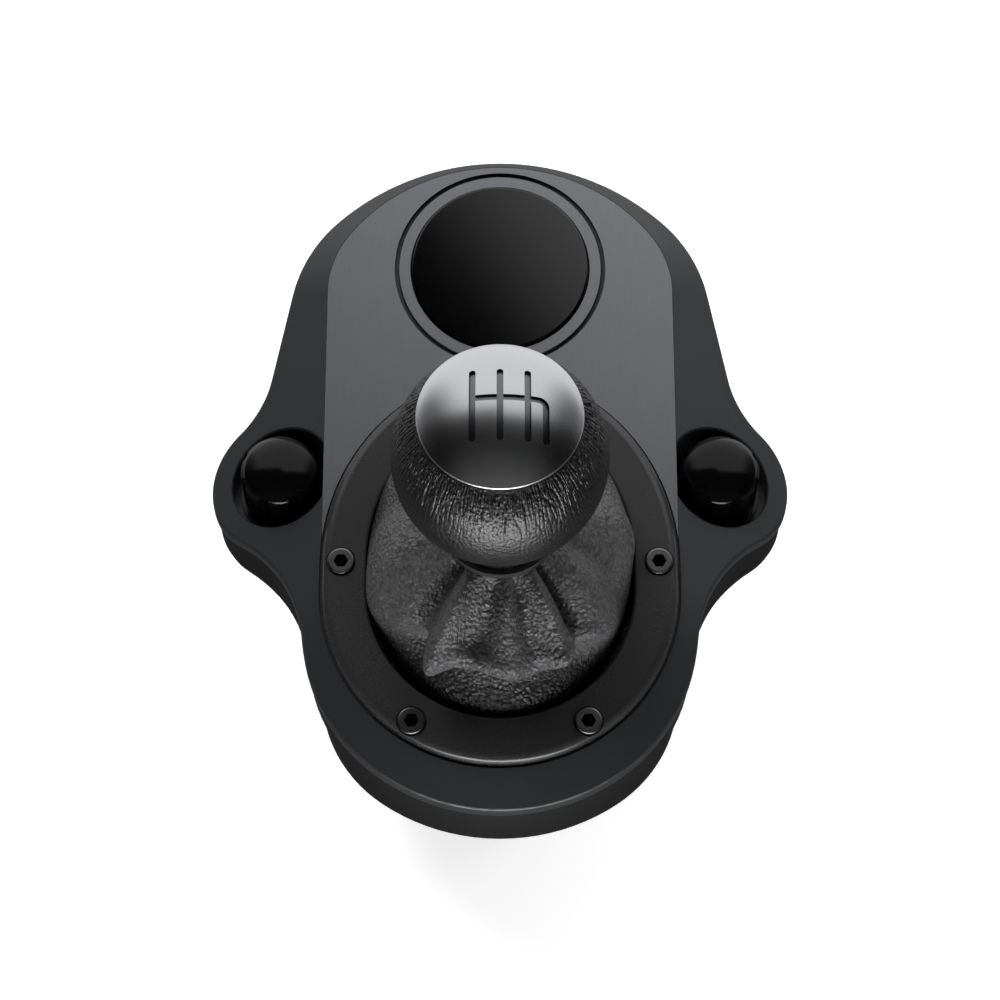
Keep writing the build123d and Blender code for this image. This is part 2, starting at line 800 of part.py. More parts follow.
# screws standing head down on one level
def cross_screws(places, level, length):
    with BuildPart() as made:
        with Locations(*[(x, y, level) for x, y in places]):
            Cylinder(small_head_radius, small_head_height, align=standing)
            Cylinder(small_screw_radius, length, align=standing)
            Box(cross_slot, cross_slot / 4, small_head_height, mode=Mode.SUBTRACT)
            Box(cross_slot / 4, cross_slot, small_head_height, mode=Mode.SUBTRACT)
    return made


finish(cross_screws(shelf_screws, shelf_z, shelf_screw_length), "housing_screws")
finish(cross_screws(base_screws, mat_thickness, base_boss_height), "base_screws")
finish(
    cross_screws(frame_screws_at, mat_thickness, base_plate_thickness + frame_base_thickness),
    "frame_screws",
)

with BuildPart() as base_mat:
    with BuildSketch():
        add(base_outline(0))
        with Locations(*mounts):
            Circle(mount_clear_radius, mode=Mode.SUBTRACT)
    extrude(amount=mat_thickness)
finish(base_mat, "base_mat")

with BuildPart() as mount_nuts:
    with BuildSketch(Plane.XY.offset(base_plate_z)):
        with Locations(*mounts):
            RegularPolygon(mount_nut_radius, 6, major_radius=False, rotation=30)
            Circle(mount_bore_radius, mode=Mode.SUBTRACT)
    extrude(amount=mount_nut_height)
finish(mount_nuts, "mount_nuts")

# Rubber pads under the shelf, over the jaws and at the far end
with BuildPart() as desk_pads:
    pad_long = pad_far_y - pad_near_y
    with BuildSketch(Plane.XY.offset(shelf_z - pad_thickness)):
        pad_x = guide_x - pad_corner / 3
        with Locations(*[(side * pad_x, pad_near_y + pad_long / 2) for side in (1, -1)]):
            RectangleRounded(2 * pad_half_x, pad_long, pad_corner)
        with Locations((0, far_pad_y)):
            RectangleRounded(2 * far_pad_half_x, 2 * far_pad_half_y, pad_corner)
    extrude(amount=pad_thickness)
finish(desk_pads, "desk_pads")

with BuildPart() as guide_rods:
    guide_top_z = shelf_z + guide_boss_height - wall
    with Locations(*[(x, y, guide_bottom_z) for x, y in guides]):
        Cylinder(guide_radius, guide_top_z - guide_bottom_z, align=standing)
    ends = guide_rods.edges().group_by(Axis.Z)[0]
    chamfer(ends, screw_hole_gap)
finish(guide_rods, "guide_rods")

# Control board on its standoffs, with two chips and the row for the sensors' plugs
board_mid_y = (board_near_y + board_far_y) / 2
with BuildPart() as control_board:
    with BuildSketch(Plane.XY.offset(board_z)):
        with Locations((0, board_mid_y)):
            Rectangle(2 * board_half_x, board_far_y - board_near_y)
        with Locations(*board_screws):
            Circle(small_screw_radius + running_gap, mode=Mode.SUBTRACT)
    extrude(amount=board_thickness)
    with BuildSketch(Plane.XY.offset(board_z + board_thickness)):
        with Locations((-2 * chip_half, board_mid_y), (2 * chip_half, board_mid_y)):
            Rectangle(2 * chip_half, 2 * chip_half)
    extrude(amount=chip_height)
    with BuildSketch(Plane.XY.offset(board_z + board_thickness)):
        for y in (board_near_y + socket_half_y, board_far_y - socket_half_y):
            with Locations((0, y)):
                Rectangle(2 * socket_half_x, 2 * socket_half_y)
                Rectangle(2 * socket_half_x - socket_half_y, socket_half_y, mode=Mode.SUBTRACT)
    extrude(amount=socket_height)
finish(control_board, "control_board")

with BuildPart() as board_fixings:
    with Locations(*[(x, y, board_z + board_thickness) for x, y in board_screws]):
        Cylinder(small_head_radius, small_head_height, align=standing)
        Cylinder(small_screw_radius, board_thickness + board_standoff, align=hanging)
finish(board_fixings, "board_screws")

# Rubber grommet where the lead goes in, at the far end
rear_face_y = far_y - 2 * housing_inset
with BuildPart() as cable_grommet:
    with BuildSketch(Plane.XZ.offset(-rear_face_y)):
        with Locations((0, grommet_z)):
            Circle(grommet_flange_radius)
    extrude(amount=-grommet_flange)
    outer = cable_grommet.edges().filter_by(GeomType.CIRCLE).sort_by(Axis.Y)[-1]
    fillet(outer, grommet_flange / 2)
    with BuildSketch(Plane.XZ.offset(-rear_face_y)):
        with Locations((0, grommet_z)):
            Circle(grommet_neck_radius)
    extrude(amount=wall + grommet_flange)
    with BuildSketch(Plane.XZ.offset(-rear_face_y)):
        with Locations((0, grommet_z)):
            Circle(grommet_bore_radius)
    extrude(amount=2 * wall, both=True, mode=Mode.SUBTRACT)
finish(cable_grommet, "cable_grommet")

# Pivot frame: a foot on the base plate and an upright at either end of the gimbal
upright_far = upright_near + upright_thickness
frame_top_z = base_plate_z + frame_base_thickness
with BuildPart() as pivot_frame:
    with BuildSketch(Plane.XY.offset(base_plate_z)):
        RectangleRounded(2 * frame_base_half, 2 * upright_far, gate_corner)
        Rectangle(2 * frame_window_x, 2 * frame_window_y, mode=Mode.SUBTRACT)
        with Locations(*frame_screws_at):
            Circle(small_screw_radius, mode=Mode.SUBTRACT)
    extrude(amount=frame_base_thickness)
    for level, amount in ((upright_near, upright_thickness), (-upright_near, -upright_thickness)):
        with BuildSketch(Plane.XZ.offset(level)):
            with Locations((0, base_plate_z)):
                Rectangle(2 * upright_half_width, pivot_z - base_plate_z, align=(Align.CENTER, Align.MIN))
            with Locations((0, pivot_z)):
                Circle(upright_half_width)
                Circle(pin_radius + running_gap + bush_wall, mode=Mode.SUBTRACT)
        extrude(amount=amount)
finish(pivot_frame, "pivot_frame")

with BuildPart() as pivot_bushes:
    for level, amount in ((upright_near, upright_thickness), (-upright_near, -upright_thickness)):
        with BuildSketch(Plane.XZ.offset(level)):
            with Locations((0, pivot_z)):
                Circle(pin_radius + running_gap + bush_wall)
                Circle(pin_radius + running_gap, mode=Mode.SUBTRACT)
        extrude(amount=amount)
finish(pivot_bushes, "pivot_bushes")

# Side sensor: turned by the near pin, fixed to the near upright
with BuildPart() as side_sensor:
    with BuildSketch(Plane.XZ.offset(upright_far)):
        with Locations((0, pivot_z)):
            RectangleRounded(2 * sensor_half, 2 * sensor_half, sensor_corner)
            Circle(pin_radius + sensor_shaft_gap, mode=Mode.SUBTRACT)
    extrude(amount=sensor_thickness)
finish(side_sensor, "side_sensor")

# Gate plate: three slots joined by a cross slot, where the lever's finger runs
gate_middle = gate_z + gate_thickness / 2
gate_reach = pivot_z - gate_middle
lane = gate_reach * tan(radians(side_throw))
slot_half = gate_reach * tan(radians(stroke_throw)) / cos(radians(side_throw))
slot_width = 2 * (finger_radius + finger_gap)
gate_posts_at = [(i * gate_post_x, j * gate_post_y) for i in (1, -1) for j in (1, -1)]
with BuildPart() as gate_plate:
    with BuildSketch(Plane.XY.offset(gate_z)):
        RectangleRounded(2 * gate_half_x, 2 * gate_half_y, gate_corner)
        with Locations((-lane, 0), (0, 0), (lane, 0)):
            SlotCenterToCenter(2 * (slot_half + finger_gap), slot_width, rotation=90, mode=Mode.SUBTRACT)
        SlotCenterToCenter(2 * lane, slot_width, mode=Mode.SUBTRACT)
        with Locations(*gate_posts_at):
            Circle(gate_screw_radius, mode=Mode.SUBTRACT)
    extrude(amount=gate_thickness)
finish(gate_plate, "gate_plate")

with BuildPart() as gate_posts:
    with BuildSketch(Plane.XY.offset(frame_top_z)):
        with Locations(*gate_posts_at):
            Circle(gate_post_radius)
            Circle(gate_screw_radius, mode=Mode.SUBTRACT)
    extrude(amount=gate_z - frame_top_z)
finish(gate_posts, "gate_posts")

with BuildPart() as gate_screws:
    with Locations(*[(x, y, gate_z + gate_thickness) for x, y in gate_posts_at]):
        Cylinder(gate_post_radius, small_head_height / 2, align=standing)
        Cylinder(gate_screw_radius, gate_thickness + wall, align=hanging)
finish(gate_screws, "gate_screws")

# Reverse sensor: its round lens lies under the gate's corner that only the pressed rod reaches
finger_reach = pivot_z - finger_bottom_z + press_travel
corner_x = finger_reach * cos(radians(stroke_throw)) * sin(radians(side_throw))
corner_y = finger_reach * sin(radians(stroke_throw))
corner_z = pivot_z - finger_reach * cos(radians(stroke_throw)) * cos(radians(side_throw))
with BuildPart() as reverse_sensor:
    with BuildSketch(Plane.XY.offset(base_plate_z)):
        with Locations((-corner_x, corner_y)):
            Rectangle(2 * lens_body_half, 2 * lens_body_half)
    extrude(amount=lens_body_height)
    with BuildSketch(Plane.XY.offset(base_plate_z)):
        with Locations((-corner_x, corner_y)):
            Circle(lens_radius)
    extrude(amount=corner_z - lens_gap - base_plate_z)
finish(reverse_sensor, "reverse_sensor")

# Side springs, from the gate plate up to the gimbal's side bars
with BuildPart() as side_springs:
    spring_foot = gate_z + gate_thickness + spring_wire + running_gap
    spring_head = pivot_z - gimbal_height / 2 - spring_wire - running_gap
    for side in (1, -1):
        add(
            coil(
                (side * side_spring_x, 0, spring_foot),
                side_spring_radius,
                spring_head - spring_foot,
                side_spring_turns,
            )
        )
finish(side_springs, "side_springs")

# Gimbal ring with its two pins, and the bushes and sensor of the lever's axle
axle_bore = axle_radius + running_gap
with BuildPart() as gimbal_ring:
    with BuildSketch(Plane.XY.offset(pivot_z - gimbal_height / 2)):
        RectangleRounded(2 * gimbal_half_x, 2 * gimbal_half_y, gimbal_corner)
        Rectangle(2 * gimbal_window_x, 2 * gimbal_window_y, mode=Mode.SUBTRACT)
    extrude(amount=gimbal_height)
    with BuildSketch(Plane.YZ):
        with Locations((0, pivot_z)):
            Circle(axle_bore + bush_wall)
    extrude(amount=2 * gimbal_half_x, both=True, mode=Mode.SUBTRACT)
    with BuildSketch(Plane.XZ):
        with Locations((0, pivot_z)):
            Circle(pin_radius)
    extrude(amount=2 * gimbal_half_y, both=True, mode=Mode.SUBTRACT)
finish(gimbal_ring, "gimbal_ring")

with BuildPart() as gimbal_pins:
    near_pin = upright_far + sensor_thickness - running_gap - gimbal_window_y
    with BuildSketch(Plane.XZ.offset(gimbal_window_y)):
        with Locations((0, pivot_z)):
            Circle(pin_radius)
    extrude(amount=near_pin)
    with BuildSketch(Plane.XZ.offset(-gimbal_window_y)):
        with Locations((0, pivot_z)):
            Circle(pin_radius)
    extrude(amount=gimbal_window_y - upright_far)
finish(gimbal_pins, "gimbal_pins")

with BuildPart() as axle_bushes:
    bar = gimbal_half_x - gimbal_window_x
    for level, amount in ((gimbal_window_x, bar), (-gimbal_window_x, -bar)):
        with BuildSketch(Plane.YZ.offset(level)):
            with Locations((0, pivot_z)):
                Circle(axle_bore + bush_wall)
                Circle(axle_bore, mode=Mode.SUBTRACT)
        extrude(amount=amount)
finish(axle_bushes, "axle_bushes")

with BuildPart() as stroke_sensor:
    with BuildSketch(Plane.YZ.offset(gimbal_half_x)):
        with Locations((0, pivot_z)):
            RectangleRounded(2 * sensor_half - sensor_corner, 2 * sensor_half - sensor_corner, sensor_corner)
            Circle(axle_radius + sensor_shaft_gap, mode=Mode.SUBTRACT)
    extrude(amount=sensor_thickness)
finish(stroke_sensor, "stroke_sensor")

# Lever tube with its hub, the axle it turns on, and what sits in and on its top
bush_bottom_z = tube_top_z - guide_bush_height
clip_bottom_z = bush_bottom_z - stop_gap - clip_thickness
rod_bore = rod_radius + running_gap
with BuildPart() as lever_tube:
    with BuildSketch(Plane.XY.offset(tube_bottom_z)):
        Circle(tube_radius)
    extrude(amount=tube_step_z - tube_bottom_z)
    with BuildSketch(Plane.XY.offset(tube_step_z)):
        Circle(tube_upper_radius)
    extrude(amount=tube_top_z - tube_step_z)
    with BuildSketch(Plane.YZ):
        with Locations((0, pivot_z)):
            Circle(hub_radius)
    extrude(amount=gimbal_window_x - hub_gap, both=True)
    with BuildSketch(Plane.XY):
        Circle(rod_bore)
    extrude(amount=2 * tube_top_z, mode=Mode.SUBTRACT)
    with BuildSketch(Plane.XY.offset(spring_seat_z)):
        Circle(spring_bore_radius)
    extrude(amount=tube_top_z, mode=Mode.SUBTRACT)
    with BuildSketch(Plane.YZ):
        with Locations((0, pivot_z)):
            Circle(axle_radius)
    extrude(amount=gimbal_window_x, both=True, mode=Mode.SUBTRACT)
finish(lever_tube, "lever_tube")

with BuildPart() as stroke_axle:
    with BuildSketch(Plane.YZ.offset(-gimbal_half_x)):
        with Locations((0, pivot_z)):
            Circle(axle_radius)
    extrude(amount=2 * gimbal_half_x + sensor_thickness - running_gap)
finish(stroke_axle, "stroke_axle")


# an upright ring between two levels
def ring(outer, inner, low, high):
    with BuildPart() as made:
        with BuildSketch(Plane.XY.offset(low)):
            Circle(outer)
            Circle(inner, mode=Mode.SUBTRACT)
        extrude(amount=high - low)
    return made


finish(ring(spring_bore_radius, rod_bore, bush_bottom_z, tube_top_z), "guide_bush")

boot_collar = ring(collar_radius, tube_upper_radius, collar_bottom_z, collar_top_z)
with boot_collar:
    rims = boot_collar.edges().filter_by(GeomType.CIRCLE).group_by(SortBy.RADIUS)[-1]
    fillet(rims, collar_edge)
finish(boot_collar, "boot_collar")

tie_radius = boot_top_radius + 2 * soft_gap
boot_tie = ring(tie_radius + tie_thickness, tie_radius, tie_z - tie_height / 2, tie_z + tie_height / 2)
finish(boot_tie, "boot_tie")

with BuildPart() as press_spring:
    spring_low = spring_seat_z + spring_wire + running_gap
    spring_high = clip_bottom_z - spring_wire - running_gap
    add(coil((0, 0, spring_low), press_spring_radius, spring_high - spring_low, press_spring_turns))
finish(press_spring, "press_spring")

# Shift rod: slides down through the tube when pressed, with a slot that clears the axle
with BuildPart() as shift_rod:
    with BuildSketch(Plane.XY.offset(rod_bottom_z)):
        Circle(rod_radius)
    extrude(amount=rod_top_z - rod_bottom_z)
    with BuildSketch(Plane.XY.offset(finger_bottom_z)):
        Circle(finger_radius)
    extrude(amount=rod_bottom_z - finger_bottom_z)
    tip = shift_rod.edges().filter_by(GeomType.CIRCLE).sort_by(Axis.Z)[0]
    fillet(tip, finger_edge)
    slot_low = pivot_z - axle_radius - 3 * running_gap
    slot_high = pivot_z + axle_radius + press_travel + 3 * running_gap
    with BuildSketch(Plane.XY.offset(slot_low)):
        Rectangle(2 * rod_radius, 2 * axle_radius + 6 * running_gap)
    extrude(amount=slot_high - slot_low, mode=Mode.SUBTRACT)
finish(shift_rod, "shift_rod")

finish(ring(clip_radius, rod_radius, clip_bottom_z, clip_bottom_z + clip_thickness), "rod_clip")

# Shift knob: a core on the rod, a stitched leather cover and an aluminium cap with the shift pattern
knob_center = Vector(0, 0, knob_z)
core_radius = knob_radius - knob_leather
cap_radius = knob_radius + cap_proud
knob_foot_z = knob_z - sqrt(knob_radius**2 - knob_foot_radius**2)
with BuildPart() as knob_socket:
    with BuildSketch(Plane.XY.offset(knob_foot_z)):
        Circle(knob_radius)
    extrude(amount=-knob_radius)
    with BuildSketch(Plane.XY.offset(knob_foot_z)):
        Circle(rod_radius)
    extrude(amount=rod_top_z - knob_foot_z)

with BuildPart() as knob_core:
    with Locations(knob_center):
        Sphere(core_radius)
    add(knob_socket.part, mode=Mode.SUBTRACT)
    with BuildSketch(Plane.XY.offset(insert_bottom_z)):
        Circle(insert_radius)
    extrude(amount=rod_top_z - insert_bottom_z - wall, mode=Mode.SUBTRACT)
finish(knob_core, "knob_core")

finish(ring(insert_radius, rod_radius, insert_bottom_z, rod_top_z - wall), "knob_insert")


# part of a hollow ball between two angles from its top
def ball_shell(outer, inner, start, end):
    with BuildPart() as made:
        with BuildSketch(Plane.XZ):
            with BuildLine():
                outside = CenterArc((0, knob_z), outer, 90 - end, end - start)
                inside = CenterArc((0, knob_z), inner, 90 - end, end - start)
                Line(outside @ 0, inside @ 0)
                Line(outside @ 1, inside @ 1)
            make_face()
        revolve(axis=Axis.Z)
    return made


seam_angle = degrees(cap_seam / knob_radius)
knob_ball = ball_shell(knob_radius, core_radius, cap_angle + seam_angle, 180)
with knob_ball:
    add(knob_socket.part, mode=Mode.SUBTRACT)
finish(knob_ball, "knob_ball")

knob_cap = ball_shell(cap_radius, core_radius, 0, cap_angle)
with knob_cap:
    cap_rim = knob_cap.edges().filter_by(lambda e: e.is_closed).sort_by(SortBy.RADIUS)[-1]
    fillet(cap_rim, cap_edge_radius)
    with BuildPart(mode=Mode.PRIVATE) as pattern:
        with BuildSketch(Plane.XY.offset(knob_z)):
            with Locations(*[(i * pattern_spacing, (pattern_up - pattern_down) / 2) for i in (-1, 0, 1)]):
                SlotCenterToCenter(pattern_up + pattern_down, pattern_width, rotation=90)
            SlotCenterToCenter(2 * pattern_spacing, pattern_width)
            turn_x = pattern_spacing + pattern_reverse_step
            with BuildLine():
                FilletPolyline(
                    (pattern_spacing, 0),
                    (turn_x, 0),
                    (turn_x, -pattern_down),
                    radius=pattern_reverse_corner,
                )
                offset(amount=pattern_width / 2)
            make_face()
        extrude(amount=2 * cap_radius)
        with Locations(knob_center):
            Sphere(cap_radius - pattern_depth, mode=Mode.SUBTRACT)
    add(pattern.part, mode=Mode.SUBTRACT)
finish(knob_cap, "knob_cap")

with BuildPart() as knob_neck:
    with BuildSketch(Plane.XY.offset(knob_foot_z)):
        Circle(neck_radius)
        Circle(rod_radius, mode=Mode.SUBTRACT)
    extrude(amount=-neck_height)
    low_rim = knob_neck.edges().filter_by(GeomType.CIRCLE).group_by(Axis.Z)[0].sort_by(SortBy.RADIUS)[-1]
    fillet(low_rim, neck_edge)
finish(knob_neck, "knob_neck")

# Thrust washers under the clamp knobs
with BuildPart() as clamp_washers:
    with BuildSketch(Plane.XY.offset(well_floor_z)):
        with Locations(*ears):
            Circle(washer_radius)
            Circle(clamp_screw_radius + screw_hole_gap, mode=Mode.SUBTRACT)
    extrude(amount=knob_bottom_z - well_floor_z - washer_gap)
finish(clamp_washers, "clamp_washers")

# Desk clamps, one at each ear: knob and screw turn, the jaw climbs the screw along its guide rod
jaw_top_z = jaw_bottom_z + jaw_thickness
collar_top = well_floor_z - well_floor_thickness - stop_gap
for name, side in sides.items():
    axis = Vector(side * ear_x, ear_y)
    pad_x = side * (guide_x - pad_corner / 3)

    with BuildPart() as clamp_knob:
        upright = Plane(origin=(side * ear_x, ear_y, knob_bottom_z), x_dir=(1, 0, 0), z_dir=(0, -1, 0))
        with BuildSketch(upright):
            with BuildLine():
                dome_foot = knob_top_z - clamp_dome_rise - knob_bottom_z
                Polyline(
                    (0, dome_foot + clamp_dome_rise),
                    (0, 0),
                    (clamp_flange_radius, 0),
                    (clamp_flange_radius, clamp_flange_height),
                    (clamp_knob_radius, clamp_flange_height),
                    (clamp_knob_radius, dome_foot),
                )
                EllipticalCenterArc((0, dome_foot), clamp_knob_radius, clamp_dome_rise, 0, arc_size=90)
            make_face()
        revolve(axis=Axis((side * ear_x, ear_y, 0), (0, 0, 1)))
        with BuildSketch(Plane.XY.offset(knob_bottom_z + flute_foot)):
            with Locations(axis):
                with PolarLocations(flute_center, flute_count, start_angle=180 / flute_count):
                    Circle(flute_radius)
        extrude(amount=knob_top_z, mode=Mode.SUBTRACT)
        with BuildSketch(Plane.XY.offset(knob_bottom_z)):
            with Locations(axis):
                Circle(clamp_screw_radius)
        extrude(amount=clamp_screw_top_z - knob_bottom_z, mode=Mode.SUBTRACT)
    finish(clamp_knob, f"clamp_knob_{name}")

    with BuildPart() as clamp_screw:
        with Locations((side * ear_x, ear_y, clamp_screw_bottom_z)):
            Cylinder(clamp_screw_radius, clamp_screw_top_z - clamp_screw_bottom_z, align=standing)
        screw_end = clamp_screw.edges().filter_by(GeomType.CIRCLE).sort_by(Axis.Z)[0]
        chamfer(screw_end, screw_hole_gap)
        with Locations((side * ear_x, ear_y, collar_top - clamp_collar_height)):
            Cylinder(clamp_collar_radius, clamp_collar_height, align=standing)
    finish(clamp_screw, f"clamp_screw_{name}")

    with BuildPart() as clamp_jaw:
        with BuildSketch(Plane.XY.offset(jaw_bottom_z)):
            with Locations(axis):
                Circle(jaw_boss_radius)
            with Locations((side * guide_x, ear_y)):
                Circle(jaw_guide_radius)
            with Locations((pad_x, jaw_tip_y)):
                Circle(jaw_tip_radius)
            make_hull()
        extrude(amount=jaw_thickness)
        chamfer(clamp_jaw.faces().sort_by(Axis.Z)[0].edges(), jaw_edge)
        with BuildSketch(Plane.XY.offset(jaw_bottom_z)):
            with Locations(axis):
                Circle(clamp_screw_radius + screw_hole_gap)
            with Locations((side * guide_x, ear_y)):
                Circle(guide_radius + guide_gap)
        extrude(amount=jaw_thickness, mode=Mode.SUBTRACT)
        with BuildSketch(Plane.XY.offset(jaw_bottom_z)):
            with Locations(axis):
                RegularPolygon(nut_radius, 6, major_radius=False)
        extrude(amount=nut_height, mode=Mode.SUBTRACT)
    finish(clamp_jaw, f"clamp_jaw_{name}")

    with BuildPart() as clamp_nut:
        with BuildSketch(Plane.XY.offset(jaw_bottom_z)):
            with Locations(axis):
                RegularPolygon(nut_radius, 6, major_radius=False)
                Circle(clamp_screw_radius + running_gap, mode=Mode.SUBTRACT)
        extrude(amount=nut_height)
    finish(clamp_nut, f"clamp_nut_{name}")

    with BuildPart() as jaw_pad:
        with BuildSketch(Plane.XY.offset(jaw_top_z)):
            with Locations((pad_x, (pad_near_y + pad_far_y) / 2)):
                RectangleRounded(2 * pad_half_x, pad_far_y - pad_near_y, pad_corner)
        extrude(amount=pad_thickness)
    finish(jaw_pad, f"jaw_pad_{name}")
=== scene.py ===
import bpy
import json
import numpy as np
from math import pi, radians
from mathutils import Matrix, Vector


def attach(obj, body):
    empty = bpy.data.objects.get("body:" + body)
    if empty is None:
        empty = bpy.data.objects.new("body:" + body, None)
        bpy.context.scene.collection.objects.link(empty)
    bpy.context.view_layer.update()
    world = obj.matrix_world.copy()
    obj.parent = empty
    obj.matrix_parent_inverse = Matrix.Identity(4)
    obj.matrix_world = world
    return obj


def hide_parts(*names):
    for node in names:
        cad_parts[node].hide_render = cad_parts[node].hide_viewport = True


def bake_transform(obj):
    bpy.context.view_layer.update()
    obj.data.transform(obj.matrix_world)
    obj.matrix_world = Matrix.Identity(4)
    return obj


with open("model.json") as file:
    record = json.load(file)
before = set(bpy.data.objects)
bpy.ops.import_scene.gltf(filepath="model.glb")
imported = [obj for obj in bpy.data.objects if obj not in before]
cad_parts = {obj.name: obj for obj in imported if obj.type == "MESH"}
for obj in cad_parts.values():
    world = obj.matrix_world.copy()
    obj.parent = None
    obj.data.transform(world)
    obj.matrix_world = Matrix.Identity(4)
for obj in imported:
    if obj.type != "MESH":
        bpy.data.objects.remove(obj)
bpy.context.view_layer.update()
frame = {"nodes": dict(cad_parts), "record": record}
nodes = frame["nodes"]
mm = 0.001
slotOf = {part["node"]: part["material_slot"] for part in frame["record"]["subparts"]}
print("frame loaded,", len(nodes), "nodes")


# a colour written as sRGB hex, in linear light
def linear(hexCode):
    channels = np.array([int(hexCode[i:i + 2], 16) / 255 for i in (1, 3, 5)])
    straight = np.where(channels <= 0.04045, channels / 12.92, ((channels + 0.055) / 1.055) ** 2.4)
    return (*straight.tolist(), 1.0)


# adds a node; a value that is another node's output is linked, any other is set on the socket
def addNode(tree, kind, values=None, **settings):
    node = tree.nodes.new(kind)
    for name, setting in settings.items():
        setattr(node, name, setting)
    for socket, value in (values or {}).items():
        if isinstance(value, bpy.types.NodeSocket):
            tree.links.new(value, node.inputs[socket])
        else:
            node.inputs[socket].default_value = value
    return node


# camera at the photograph's angle
camera = {"place": (0.0, -0.2929, 0.6563), "pitch": 61.0, "lens": 90.0, "sensor": 36.0}

cameraData = bpy.data.cameras.new("camera")
cameraData.lens = camera["lens"]
cameraData.sensor_width = camera["sensor"]
cameraData.clip_start = 0.01
cameraObject = bpy.data.objects.new("camera", cameraData)
cameraObject.location = camera["place"]
cameraObject.rotation_euler = (radians(90 - camera["pitch"]), 0, 0)
bpy.context.scene.collection.objects.link(cameraObject)
bpy.context.scene.camera = cameraObject
bpy.context.scene.view_settings.view_transform = "Standard"

# studio: a bright half behind the object, a dark half over the camera, and a low light in front
studio = {
    "dark": 0.015, "farLevel": 1.25, "farStart": 0.225, "farFull": 0.33,
    "sideFull": 0.5, "sideEnd": 0.85, "sideLevel": 0.1,  # where the bright half fades sideways
    "slantReach": 0.04, "slant": 0.05,                   # its edge runs at a slant overhead
    "nearLevel": 0.13, "nearStart": -0.25, "nearFull": -1.0,
    "floorHex": "#f2f2f2", "floorGlow": 0.74, "floorHalf": 4.0,
    "floorMirror": 0.12, "floorLitFrom": 0.05, "floorLitTo": 0.4,  # the floor in gloss parts
}

world = bpy.data.worlds.new("studio")
world.use_nodes = True
bpy.context.scene.world = world
tree = world.node_tree
background = tree.nodes["Background"]
way = addNode(tree, "ShaderNodeTexCoord").outputs["Generated"]
axes = addNode(tree, "ShaderNodeSeparateXYZ", {0: way})
slant = addNode(tree, "ShaderNodeMapRange", {
    "Value": axes.outputs["X"], "From Min": -studio["slantReach"], "From Max": studio["slantReach"],
    "To Min": -studio["slant"], "To Max": studio["slant"]}).outputs[0]
behind = addNode(tree, "ShaderNodeMath", {
    0: axes.outputs["Y"], 1: slant}, operation="ADD").outputs[0]
level = addNode(tree, "ShaderNodeMapRange", {
    "Value": behind, "From Min": studio["farStart"], "From Max": studio["farFull"],
    "To Min": studio["dark"], "To Max": studio["farLevel"]},
    interpolation_type="SMOOTHSTEP").outputs[0]
nearby = addNode(tree, "ShaderNodeMapRange", {
    "Value": axes.outputs["Y"], "From Min": studio["nearStart"], "From Max": studio["nearFull"],
    "To Min": studio["dark"], "To Max": studio["nearLevel"]}).outputs[0]
level = addNode(tree, "ShaderNodeMath", {0: level, 1: nearby}, operation="MAXIMUM").outputs[0]
aside = addNode(tree, "ShaderNodeMath", {0: axes.outputs["X"]}, operation="ABSOLUTE").outputs[0]
narrow = addNode(tree, "ShaderNodeMapRange", {
    "Value": aside, "From Min": studio["sideFull"], "From Max": studio["sideEnd"],
    "To Min": 1.0, "To Max": studio["sideLevel"]}, interpolation_type="SMOOTHSTEP").outputs[0]
level = addNode(tree, "ShaderNodeMath", {0: level, 1: narrow}, operation="MULTIPLY").outputs[0]
rays = addNode(tree, "ShaderNodeLightPath")
shown = addNode(tree, "ShaderNodeMix", {
    0: rays.outputs["Is Camera Ray"], 2: level, 3: 1.0}, data_type="FLOAT").outputs[0]
tree.links.new(shown, background.inputs["Strength"])
background.inputs["Color"].default_value = linear("#ffffff")

# rectangular lamps that look at a point: place, point, size and radiance. Three only fill in, so
# that their mirror images don't lie on the gloss parts, and the front ones lie on the table as
# white cards do
lamps = {
    "lampOverhead": {"place": (-0.35, 0.4, 0.9), "towards": (0, 0.03, 0.08), "size": (0.5, 0.4),
                     "radiance": 9.0, "mirrored": False},
    "lampFront": {"place": (0.0, -0.33, 0.004), "towards": (0, -0.29, 1.0), "size": (0.3, 0.5),
                  "radiance": 12.5, "mirrored": True},
    "lampFrontWide": {"place": (0.0, -0.38, 0.002), "towards": (0, -0.34, 1.0), "size": (1.2, 0.6),
                      "radiance": 1.6, "mirrored": True},
    "lampRight": {"place": (0.9, 0.25, 0.55), "towards": (0, 0.03, 0.08), "size": (0.4, 0.4),
                  "radiance": 5.0, "mirrored": False},
    "lampNear": {"place": (0.45, -0.6, 0.35), "towards": (0, -0.03, 0.08), "size": (0.2, 0.2),
                 "radiance": 8.0, "mirrored": False},
}
for name, s in lamps.items():
    lampData = bpy.data.lights.new(name, "AREA")
    lampData.shape = "RECTANGLE"
    lampData.size, lampData.size_y = s["size"]
    lampData.energy = s["radiance"] * pi * s["size"][0] * s["size"][1]
    lamp = bpy.data.objects.new(name, lampData)
    lamp.location = s["place"]
    look = Vector(s["towards"]) - Vector(s["place"])
    lamp.rotation_euler = look.to_track_quat("-Z", "Y").to_euler()
    lamp.visible_glossy = s["mirrored"]
    lamp.visible_camera = False
    bpy.context.scene.collection.objects.link(lamp)

